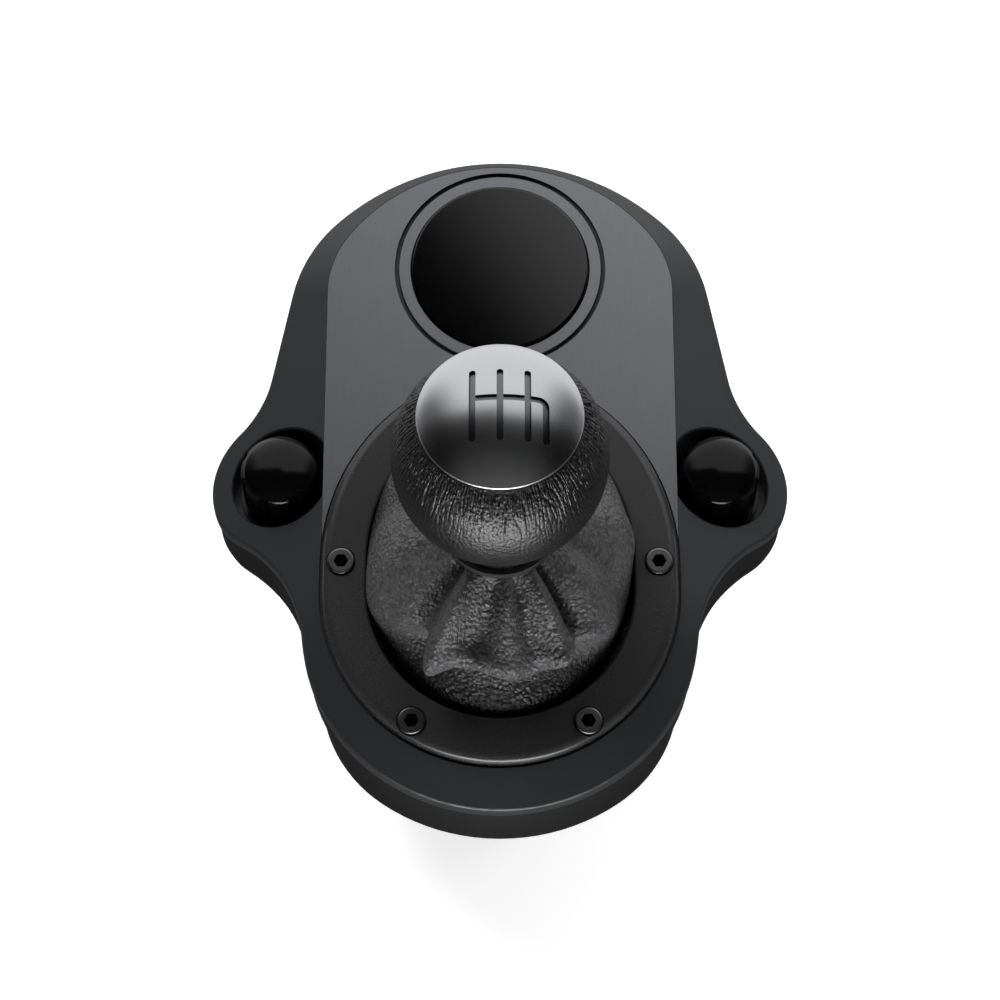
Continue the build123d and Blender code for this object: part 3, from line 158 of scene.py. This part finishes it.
# floor: white to the eye and under the object's shadow; gloss parts see it lit from behind
floorMaterial = bpy.data.materials.new("studioFloor")
floorMaterial.use_nodes = True
tree = floorMaterial.node_tree
tree.nodes.remove(tree.nodes["Principled BSDF"])
rays = addNode(tree, "ShaderNodeLightPath")
mirrored = addNode(tree, "ShaderNodeMath", {
    0: rays.outputs["Is Glossy Ray"], 1: rays.outputs["Is Transmission Ray"]},
    operation="MAXIMUM").outputs[0]
place = addNode(tree, "ShaderNodeTexCoord").outputs["Object"]
axes = addNode(tree, "ShaderNodeSeparateXYZ", {0: place})
lit = addNode(tree, "ShaderNodeMapRange", {
    "Value": axes.outputs["Y"],
    "From Min": studio["floorLitFrom"], "From Max": studio["floorLitTo"],
    "To Min": studio["floorMirror"], "To Max": studio["farLevel"]},
    interpolation_type="SMOOTHSTEP").outputs[0]
glow = addNode(tree, "ShaderNodeMath", {0: rays.outputs["Is Camera Ray"], 1: studio["floorGlow"]},
               operation="MULTIPLY").outputs[0]
paper = addNode(tree, "ShaderNodeBsdfDiffuse", {"Color": linear(studio["floorHex"])}).outputs[0]
shine = addNode(tree, "ShaderNodeEmission", {"Strength": glow}).outputs[0]
eye = addNode(tree, "ShaderNodeAddShader", {0: paper, 1: shine}).outputs[0]
mirror = addNode(tree, "ShaderNodeEmission", {"Strength": lit}).outputs[0]
seen = addNode(tree, "ShaderNodeMixShader", {0: mirrored, 1: eye, 2: mirror}).outputs[0]
tree.links.new(seen, tree.nodes["Material Output"].inputs["Surface"])
floorMesh = bpy.data.meshes.new("floor")
half = studio["floorHalf"]
floorMesh.from_pydata([(-half, -half, 0), (half, -half, 0), (half, half, 0), (-half, half, 0)],
                      [], [(0, 1, 2, 3)])
floorMesh.materials.append(floorMaterial)
floor = bpy.data.objects.new("floor", floorMesh)
bpy.context.scene.collection.objects.link(floor)
print("camera, lights and floor set")


# materials
# A finish is a noise pattern whose grain is (x, y, z) in millimetres, over a wider patchy one.
# Its hex colours are the darkest and lightest, roughness runs between two values,
# and depth is how far the grain stands up, in millimetres.
grainShare = 0.65                # of the mixed pattern; the patches have the rest
mixLow, mixHigh = 0.25, 0.75     # between these the roughness runs from its first value to its last
creaseWidth = 0.06               # of a crease, as a share of its noise


def finish(name, s):
    material = bpy.data.materials.new(name)
    material.use_nodes = True
    tree = material.node_tree
    shader = tree.nodes["Principled BSDF"]
    shader.inputs["Metallic"].default_value = s.get("metallic", 0.0)
    if "ior" in s:
        shader.inputs["IOR"].default_value = s["ior"]
    place = addNode(tree, "ShaderNodeTexCoord").outputs["Object"]
    if "attribute" in s:
        place = addNode(tree, "ShaderNodeAttribute",
                        attribute_name=s["attribute"]).outputs["Vector"]
    centre = addNode(tree, "ShaderNodeMapping", {
        "Vector": place, "Location": s.get("centre", (0, 0, 0)),
        "Rotation": s.get("turn", (0, 0, 0))}, vector_type="TEXTURE").outputs[0]
    scaled = addNode(tree, "ShaderNodeMapping", {
        "Vector": centre, "Scale": tuple(1 / (size * mm) for size in s["grain"])}).outputs[0]
    if s.get("pebble"):  # leather: rounded cells with soft valleys between them
        wander = addNode(tree, "ShaderNodeTexNoise", {
            "Vector": scaled, "Scale": 0.6, "Detail": 2.0})
        bent = addNode(tree, "ShaderNodeVectorMath", {
            0: scaled, 1: wander.outputs["Color"]}, operation="ADD").outputs[0]
        grain = addNode(tree, "ShaderNodeTexVoronoi", {
            "Vector": bent, "Scale": 1.0, "Smoothness": 0.6},
            feature="SMOOTH_F1").outputs["Distance"]
        grain = addNode(tree, "ShaderNodeMath", {0: 1.0, 1: grain}, operation="SUBTRACT").outputs[0]
    else:
        grain = addNode(tree, "ShaderNodeTexNoise", {
            "Vector": scaled, "Scale": 1.0, "Detail": 4.0, "Roughness": 0.6}).outputs["Fac"]
    patch = addNode(tree, "ShaderNodeTexNoise", {
        "Vector": centre, "Scale": 1 / (s.get("patch", 18) * mm), "Detail": 3.0}).outputs["Fac"]
    mixed = addNode(tree, "ShaderNodeMath", {
        0: grain, 1: grainShare}, operation="MULTIPLY").outputs[0]
    mixed = addNode(tree, "ShaderNodeMath", {0: patch, 1: 1 - grainShare, 2: mixed},
                    operation="MULTIPLY_ADD").outputs[0]
    colour = addNode(tree, "ShaderNodeMix", {
        0: mixed, 6: linear(s["hexes"][0]), 7: linear(s["hexes"][1])}, data_type="RGBA").outputs[2]
    # on the bolts and the boot this colour is painted shade, in the bolts' sockets and at the
    # boot's foot; on the cap it is paint in the engraving
    if "paint" in s:  # a colour below a radius or a level; both and its fade are in millimetres
        if "radius" in s:
            away = addNode(tree, "ShaderNodeVectorMath", {0: centre},
                           operation="LENGTH").outputs["Value"]
        else:
            away = addNode(tree, "ShaderNodeSeparateXYZ", {0: centre}).outputs["Z"]
        edge = s.get("radius", s.get("level"))
        deep = addNode(tree, "ShaderNodeMapRange", {
            "Value": away, "From Min": edge * mm,
            "From Max": (edge + s.get("fade", 0.2)) * mm}).outputs[0]
        colour = addNode(tree, "ShaderNodeMix", {
            0: deep, 6: linear(s["paint"]), 7: colour}, data_type="RGBA").outputs[2]
    rough = addNode(tree, "ShaderNodeMapRange", {
        "Value": mixed, "From Min": mixLow, "From Max": mixHigh,
        "To Min": s["roughness"][0], "To Max": s["roughness"][1]}).outputs[0]
    tree.links.new(colour, shader.inputs["Base Color"])
    tree.links.new(rough, shader.inputs["Roughness"])
    height = grain
    if "crease" in s:  # long creases of leather, (size in millimetres, share of the depth)
        size, share = s["crease"]
        crease = addNode(tree, "ShaderNodeTexNoise", {
            "Vector": centre, "Scale": 1 / (size * mm),
            "Detail": 5.0, "Distortion": 1.5}).outputs["Fac"]
        fold = addNode(tree, "ShaderNodeMath", {0: crease, 1: 0.5}, operation="SUBTRACT").outputs[0]
        fold = addNode(tree, "ShaderNodeMath", {0: fold}, operation="ABSOLUTE").outputs[0]
        fold = addNode(tree, "ShaderNodeMapRange", {
            "Value": fold, "From Max": creaseWidth, "To Max": share}).outputs[0]
        height = addNode(tree, "ShaderNodeMath", {0: grain, 1: fold}, operation="ADD").outputs[0]
    if s.get("depth"):
        bump = addNode(tree, "ShaderNodeBump", {
            "Height": height, "Strength": 1.0, "Distance": s["depth"] * mm})
        tree.links.new(bump.outputs["Normal"], shader.inputs["Normal"])
    for socket, value in s.get("sockets", {}).items():
        shader.inputs[socket].default_value = value
    return material


plateTilt = radians(9.5)
finishes = {
    # ABS, moulded on a spark-eroded tool: a fine even texture that breaks reflections up softly
    "lid_plastic": finish("abs_textured_lid", {
        "hexes": ("#242527", "#303133"), "roughness": (0.36, 0.44), "ior": 1.54,
        "grain": (0.5, 0.5, 0.5), "depth": 0.012, "patch": 25}),
    # aluminium sheet, brushed lengthwise and anodised grey: satin, with fine lines along Y
    "plate_metal": finish("aluminium_brushed_anodised", {
        "hexes": ("#828387", "#96979b"), "roughness": (0.3, 0.37), "metallic": 1.0,
        "grain": (0.35, 9.0, 0.35), "depth": 0.004, "patch": 30, "turn": (plateTilt, 0, 0)}),
    # acrylic, cast and polished: a clear dark mirror with hardly any texture
    "badge_gloss": finish("acrylic_polished_black", {
        "hexes": ("#020202", "#040404"), "roughness": (0.05, 0.08), "ior": 1.49,
        "grain": (6.0, 6.0, 6.0), "patch": 30}),
    # aluminium casting, painted satin black: smooth, with a soft long highlight
    "trim_black": finish("aluminium_painted_satin_black", {
        "hexes": ("#2a2a2b", "#313132"), "roughness": (0.22, 0.3), "ior": 1.5,
        "grain": (0.4, 0.4, 0.4), "depth": 0.004, "patch": 22}),
    # stainless steel, cold headed and tumbled: grey satin, with near-black painted shade in its
    # sockets, below a level over the plate
    "bolt_steel": finish("steel_tumbled", {
        "hexes": ("#6e6e70", "#828284"), "roughness": (0.26, 0.36), "metallic": 1.0,
        "grain": (0.3, 0.3, 0.3), "depth": 0.004, "patch": 4, "centre": (0, 0, 0.082),
        "turn": (plateTilt, 0, 0), "level": 3.8, "paint": "#0b0b0b"}),
    # steel, black oxide from a hot bath: dark with a faint blue
    "dark_steel": finish("steel_black_oxide", {
        "hexes": ("#2c2d30", "#3c3d40"), "roughness": (0.32, 0.45), "metallic": 1.0,
        "grain": (0.4, 0.4, 0.4), "depth": 0.003, "patch": 5}),
    # nylon, moulded: dull dark grey
    "inner_plastic": finish("nylon_moulded", {
        "hexes": ("#2a2a2c", "#343436"), "roughness": (0.5, 0.62), "ior": 1.53,
        "grain": (0.6, 0.6, 0.6), "depth": 0.01, "patch": 12}),
    # ABS, moulded on a coarser tool: nearly black, pebbled
    "housing_plastic": finish("abs_textured_base", {
        "hexes": ("#0c0c0d", "#131314"), "roughness": (0.5, 0.62), "ior": 1.54,
        "grain": (0.8, 0.8, 0.8), "depth": 0.03, "patch": 25,
        "sockets": {"Specular IOR Level": 0.25}}),
    # rubber, compression moulded: matt, slightly dusty
    "rubber": finish("rubber_moulded", {
        "hexes": ("#141414", "#1d1d1d"), "roughness": (0.75, 0.9), "ior": 1.52,
        "grain": (0.5, 0.5, 0.5), "depth": 0.02, "patch": 8}),
    # glass-fibre laminate under green solder mask: glossy green with a faint weave
    "board": finish("laminate_solder_mask", {
        "hexes": ("#0d3a20", "#15502e"), "roughness": (0.28, 0.38), "ior": 1.55,
        "grain": (0.5, 0.5, 2.0), "depth": 0.005, "patch": 10}),
    # steel, turned: bright and fine-grained
    "steel": finish("steel_turned", {
        "hexes": ("#8c8c90", "#b2b2b6"), "roughness": (0.24, 0.36), "metallic": 1.0,
        "grain": (0.3, 0.3, 0.3), "depth": 0.003, "patch": 6}),
    # brass, turned: yellow, a little dulled
    "brass": finish("brass_turned", {
        "hexes": ("#a5803f", "#c29c55"), "roughness": (0.26, 0.38), "metallic": 1.0,
        "grain": (0.3, 0.3, 0.3), "depth": 0.003, "patch": 6}),
    # aluminium, milled: pale, with short tool marks
    "aluminium": finish("aluminium_milled", {
        "hexes": ("#a8a9ac", "#c4c5c8"), "roughness": (0.3, 0.42), "metallic": 1.0,
        "grain": (0.4, 2.4, 0.4), "depth": 0.004, "patch": 8}),
    # aluminium, spun and bead-blasted: satin silver, with darker paint in its engraving
    "cap_aluminium": finish("aluminium_spun_satin", {
        "hexes": ("#acadb0", "#bebfc2"), "roughness": (0.26, 0.32), "metallic": 1.0,
        "grain": (0.3, 0.3, 0.3), "depth": 0.002, "patch": 14, "centre": (0, 0, 0.149),
        "radius": 26.25, "paint": "#66676a"}),
    # ABS, moulded on a polished tool: gloss black
    "knob_gloss": finish("abs_polished_black", {
        "hexes": ("#040404", "#080809"), "roughness": (0.1, 0.16), "ior": 1.54,
        "grain": (5.0, 5.0, 5.0), "patch": 9, "sockets": {"Specular IOR Level": 0.16}}),
    # polycarbonate, moulded: dark blue grey
    "sensor_plastic": finish("polycarbonate_moulded", {
        "hexes": ("#1c2733", "#26323f"), "roughness": (0.4, 0.5), "ior": 1.58,
        "grain": (0.4, 0.4, 0.4), "depth": 0.006, "patch": 6}),
    # split leather, pebbled and dyed black: soft sheen on the crowns and dark between the pebbles;
    # near-black painted shade at its foot, in the recess over the ring
    "boot_leather": finish("leather_pebbled_black", {
        "hexes": ("#121213", "#646466"), "roughness": (0.6, 0.34), "ior": 1.5,
        "grain": (1.0, 1.0, 1.0), "depth": 0.5, "patch": 9, "pebble": True,
        "crease": (7.0, 0.35), "attribute": "restPlace", "centre": (0, 0, 0.082),
        "turn": (plateTilt, 0, 0), "level": 4.5, "fade": 8.0, "paint": "#050505"}),
    # calf leather, stretched over the ball: smoother, with fine lines that run down from the cap
    "ball_leather": finish("leather_smooth_black", {
        "hexes": ("#020202", "#0a0a0b"), "roughness": (0.5, 0.36), "ior": 1.5,
        "grain": (0.9, 0.9, 0.9), "depth": 0.16, "patch": 9, "pebble": True,
        "attribute": "restPlace"}),
}
for name, node in nodes.items():
    node.data.materials.clear()
    node.data.materials.append(finishes[slotOf[name]])
print("materials set,", len(finishes))


sharpAngle = radians(50)   # an edge that turns more than this shows as one


# a mesh from a grid of points; the grid closes on itself along columns, and along rows if asked
def gridPiece(name, points, material, closeRows=False):
    rows, columns = points.shape[:2]
    index = np.arange(rows * columns).reshape(rows, columns)
    if closeRows:
        index = np.vstack([index, index[:1]])
    right = np.roll(index, -1, axis=1)
    faces = np.stack([index[:-1], right[:-1], right[1:], index[1:]], axis=-1).reshape(-1, 4)
    mesh = bpy.data.meshes.new(name)
    mesh.from_pydata(points.reshape(-1, 3), [], faces.tolist())
    mesh.shade_smooth()
    mesh.set_sharp_from_angle(angle=sharpAngle)
    mesh.materials.append(material)
    rest = mesh.attributes.new("restPlace", "FLOAT_VECTOR", "POINT")
    rest.data.foreach_set("vector", points.astype(np.float32).ravel())
    piece = bpy.data.objects.new(name, mesh)
    bpy.context.scene.collection.objects.link(piece)
    return piece


def smoothStep(values, start, end):
    share = np.clip((values - start) / (end - start), 0, 1)
    return share * share * (3 - 2 * share)


# a bell of height 1 at a place, that wide
def bell(values, place, width):
    return np.exp(-((values - place) / width) ** 2)


# a smooth curve through rows of control values, read at any array of shares from 0 to 1: cubics
# between the rows, with slopes taken from the neighbouring rows
def throughRows(controls, shares):
    controls = np.asarray(controls, float)
    knots = controls[:, 0]
    slot = np.clip(np.searchsorted(knots, shares, side="right") - 1, 0, len(knots) - 2)
    span = (knots[slot + 1] - knots[slot])[..., None]
    t = (shares - knots[slot])[..., None] / span
    slopes = np.gradient(controls[:, 1:], knots, axis=0)
    p0, p1 = controls[slot, 1:], controls[slot + 1, 1:]
    m0, m1 = slopes[slot] * span, slopes[slot + 1] * span
    return ((2 * t**3 - 3 * t**2 + 1) * p0 + (t**3 - 2 * t**2 + t) * m0
            + (3 * t**2 - 2 * t**3) * p1 + (t**3 - t**2) * m1)


# boot: a leather bag that sags over the near side of its ring, in two pieces that meet in one
# row
# For each turn round the lever, a profile runs from the foot under the lid to the lever's collar.
# Its distance from the lever is a share between the collar's and the foot's, and its height a share
# between their levels. The profile blends from the plain one to the sagging one on the near side,
# where it tucks in over the ring, comes out to a lip and leans back to the collar. Then ridges and
# valleys, each a bell across the turn that moves with height, push it in and out, and the lip is
# lifted or lowered by bells.
boot = {
    "columns": 360, "rows": 130, "seamSteps": 400, "seamHeight": 15.0, "leather": 1.0,
    "footHalfX": 33.9, "footHalfY": 40.6, "footCentre": 5.6, "footDrop": 3.3,
    "topRadius": 12.2, "topZ": 116.5, "plateZ": 82.0,
    "blendFoot": 3.4, "blendTop": 30.0,   # over the plate
    # share of the way, distance share, height share
    "plain": ((0, 1.4, 0), (0.07, 1.02, 0.0), (0.11, 1, 0.04), (0.16, 1, 0.11), (0.24, 1, 0.22),
              (0.34, 0.96, 0.36), (0.48, 0.88, 0.5), (0.62, 0.72, 0.63), (0.74, 0.5, 0.75),
              (0.84, 0.26, 0.85), (0.91, 0.09, 0.92), (0.95, 0.02, 0.95), (1, 0, 1)),
    "sagging": ((0, 1.4, 0), (0.07, 1.02, 0.0), (0.1, 1, 0.03), (0.14, 0.99, 0.1),
                (0.19, 0.92, 0.19), (0.25, 0.74, 0.28), (0.32, 0.63, 0.36), (0.39, 0.76, 0.45),
                (0.45, 0.88, 0.52), (0.5, 0.86, 0.585), (0.6, 0.7, 0.66), (0.73, 0.48, 0.77),
                (0.84, 0.28, 0.86), (0.91, 0.1, 0.92), (0.95, 0.02, 0.95), (1, 0, 1)),
    "sagTurn": -4.0, "sagFull": 31.0, "sagEnd": 66.0,   # degrees from the near side
    # turn from the near side in degrees at the lip and at the top, width there, push out in mm,
    # and the shares of the way between which it lives
    "folds": ((-31, -28, 6, 4.6, 0.37, 0.97), (-43, -44, 6, -5.0, 0.37, 0.97),
              (-68, -78, 15, 2.4, 0.25, 0.9), (-12, -8, 8, -2.8, 0.5, 0.95),
              (4, 4, 8, 1.6, 0.45, 0.95), (17, 16, 6, -2.2, 0.5, 0.95),
              (29, 31, 6, 3.2, 0.4, 0.97), (39, 42, 2.6, -5.0, 0.45, 0.99),
              (52, 60, 10, 2.2, 0.3, 0.92), (70, 78, 6, -1.6, 0.3, 0.9),
              (92, 100, 9, 1.6, 0.3, 0.9), (-104, -110, 10, -1.8, 0.3, 0.9),
              (150, 150, 12, -1.5, 0.3, 0.9), (-150, -150, 14, 1.4, 0.3, 0.9)),
    "foldStraight": 0.3,                # share of the way up to which a fold keeps its turn
    "foldFade": (0.1, 0.08, 0.12),      # shares over which it starts, round the first, and ends
    # the lip runs up and down: turn, width in degrees, and lift in mm, round a share of the way
    "lipLifts": ((-32, 8, -3.4), (-12, 12, 2.4), (14, 12, -1.8), (40, 13, 4.6), (60, 12, 2.0)),
    "lipShare": (0.44, 0.11),
    "gathers": (13, 0.35), "gatherShare": (0.86, 0.09),   # count and depth in mm, under the collar
    "waveHeight": 0.5, "waveShare": (0.5, 0.22),          # a slow wave all round, in mm
    "foldLift": 0.25,                                     # a fold rises by this share of its push
}


# shares of the way up, one row of the array for each row of the mesh and one column for each turn
def bootSurface(s, shares):
    turn = np.linspace(0, 2 * pi, s["columns"], endpoint=False)[None, :]   # 0 is the near side
    around = np.degrees((turn + pi) % (2 * pi) - pi)
    plain, sagging = throughRows(s["plain"], shares), throughRows(s["sagging"], shares)
    sag = 1 - smoothStep(np.abs(around - s["sagTurn"]), s["sagFull"], s["sagEnd"])
    profile = plain + (sagging - plain) * sag[..., None]
    across, along = np.sin(turn), -np.cos(turn)
    tilt = np.tan(plateTilt)
    footX = s["footHalfX"] * across
    footY = s["footCentre"] + s["footHalfY"] * along
    footZ = s["plateZ"] - s["footDrop"] + footY * tilt
    out, up = profile[:, :, 0], profile[:, :, 1]
    push = np.zeros(shares.shape)
    before, after, ending = s["foldFade"]
    for lipTurn, topTurn, width, depth, low, high in s["folds"]:
        line = lipTurn + (topTurn - lipTurn) * smoothStep(shares, s["foldStraight"], 1)
        apart = (around - line + 180) % 360 - 180
        window = (smoothStep(shares, low - before, low + after)
                  * (1 - smoothStep(shares, high - ending, high)))
        push = push + depth * bell(apart, 0, width) * window
    count, depth = s["gathers"]
    wave = np.sin(count * turn + 1.7 * np.sin(3 * turn))
    push = push + depth * wave * bell(shares, *s["gatherShare"])
    x = s["topRadius"] * across * (1 - out) + footX * out
    y = s["topRadius"] * along * (1 - out) + footY * out
    z = footZ * (1 - up) + s["topZ"] * up
    for lipTurn, width, lift in s["lipLifts"]:
        z = z + lift * bell(around, lipTurn, width) * bell(shares, *s["lipShare"]) * sag
    wave = np.sin(5 * turn + 9 * shares) * np.sin(3 * turn - 7 * shares + 1)
    wave = s["waveHeight"] * wave * bell(shares, *s["waveShare"])
    x, y, z = x + push * across, y + push * along, z + s["foldLift"] * push + wave
    return np.stack([x, y, z], axis=-1) * mm


# direction out of a closed band of points, from its rows and columns
def outwards(points):
    around = np.roll(points, -1, axis=1) - np.roll(points, 1, axis=1)
    upwards = np.gradient(points, axis=0)
    normal = np.cross(around, upwards)
    return normal / np.linalg.norm(normal, axis=-1, keepdims=True)


# a shell of one thickness from its outer wall: out along it, over the edge and back inside
def shell(points, thickness):
    inner = points - outwards(points) * thickness * mm
    return np.concatenate([points, inner[::-1]])


plateUp = np.array([0, -np.sin(plateTilt), np.cos(plateTilt)])
plateCentre = np.array([0, 0, boot["plateZ"] * mm])
evenShares = np.linspace(0, 1, boot["seamSteps"])[:, None] * np.ones(boot["columns"])
overPlate = (bootSurface(boot, evenShares) - plateCentre) @ plateUp
# the last share of each column that lies under the seam's height
seamShare = (evenShares * (overPlate < boot["seamHeight"] * mm)).max(axis=0)
lowShares = np.linspace(0, 1, boot["rows"])[:, None] * seamShare
highShares = seamShare + np.linspace(0, 1, boot["rows"])[:, None] * (1 - seamShare)
bootSkirt = gridPiece("boot_skirt", shell(bootSurface(boot, lowShares), boot["leather"]),
                      finishes["boot_leather"], closeRows=True)
bootNeck = gridPiece("boot_neck", shell(bootSurface(boot, highShares), boot["leather"]),
                     finishes["boot_leather"], closeRows=True)
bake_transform(bootSkirt)
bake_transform(bootNeck)
for piece, flat, area in ((bootSkirt, (0.25, 0.028), 0.0065), (bootNeck, (0.16, 0.03), 0.0044)):
    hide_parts("shift_boot")
print("boot made")


# ball: leather drawn over the core, its top edge under the cap
# The outer wall is a sphere. Its polar angle runs from the cap's edge to the flat foot round the
# neck, and short creases run down from the cap: sharp valleys of a wave whose phase wanders, deep
# under the cap and gone at the widest part.
ball = {
    "columns": 820, "centreZ": 149.0, "radius": 25.7, "leather": 1.5, "capAngle": 47.15,
    "footZ": 124.93, "holeRadius": 4.7, "liningEnd": 158.0, "liningRows": 24,
    # polar angle at which each band of rows ends, and its rows
    "bands": ((50.15, 6), (100.0, 60), (159.5, 28)),
    # creases round the ball, their phase, depth in mm, and the polar angles of full depth and end
    "creases": ((118, 0.0, 0.2, 50, 74), (163, 1.3, 0.18, 50, 84), (91, 2.1, 0.2, 54, 88),
                (137, 0.7, 0.14, 62, 98)),
    "creaseWidth": 0.28,
}


def ballSurface(s):
    turn = np.linspace(0, 2 * pi, s["columns"], endpoint=False)[None, :]
    (edgeEnd, edgeRows), (creaseEnd, creaseRows), (lowEnd, lowRows) = s["bands"]
    polar = np.concatenate([np.linspace(s["capAngle"], edgeEnd, edgeRows)[:-1],
                            np.linspace(edgeEnd, creaseEnd, creaseRows)[:-1],
                            np.linspace(creaseEnd, lowEnd, lowRows)])[:, None]
    push = np.zeros((len(polar), s["columns"]))
    for count, phase, depth, start, end in s["creases"]:
        wander = (1.6 * np.sin(3 * turn + phase) + 1.1 * np.sin(7 * turn + 0.05 * polar * phase)
                  + 0.8 * np.sin(19 * turn + 0.16 * polar + phase))
        wave = np.sin(count * turn / 2 + wander + 0.07 * (polar - 50) * np.sin(5 * turn + phase))
        reach = end + 9 * np.sin(11 * turn + 3 * phase) + 7 * np.sin(31 * turn + phase)
        fade = smoothStep(polar, s["capAngle"], start) * (1 - smoothStep(polar, start, reach))
        push = push - depth * bell(wave, 0, s["creaseWidth"]) * fade
    radius = s["radius"] + push
    z = s["centreZ"] + radius * np.cos(np.radians(polar))
    # the last rows turn in over the foot's edge to the hole round the rod
    z = np.maximum(z, s["footZ"])
    outer = np.stack([radius * np.sin(np.radians(polar)) * np.sin(turn),
                      -radius * np.sin(np.radians(polar)) * np.cos(turn), z], axis=-1)
    hole = np.array([s["holeRadius"], s["holeRadius"]])[:, None]
    holeZ = np.array([s["footZ"], s["footZ"] + s["leather"]])[:, None] * np.ones_like(turn)
    inside = np.radians(np.linspace(s["liningEnd"], s["capAngle"], s["liningRows"]))[:, None]
    innerRadius = s["radius"] - s["leather"]
    lining = np.stack([innerRadius * np.sin(inside) * np.sin(turn),
                       -innerRadius * np.sin(inside) * np.cos(turn),
                       s["centreZ"] + innerRadius * np.cos(inside) * np.ones_like(turn)], axis=-1)
    edge = np.stack([hole * np.sin(turn), -hole * np.cos(turn), holeZ], axis=-1)
    lining[..., 2] = np.maximum(lining[..., 2], s["footZ"] + s["leather"])
    return np.concatenate([outer, edge, lining])[::-1] * mm


leatherBall = gridPiece("leather_ball", ballSurface(ball), finishes["ball_leather"],
                        closeRows=True)
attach(leatherBall, "knob")
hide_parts("knob_ball")
print("ball made")
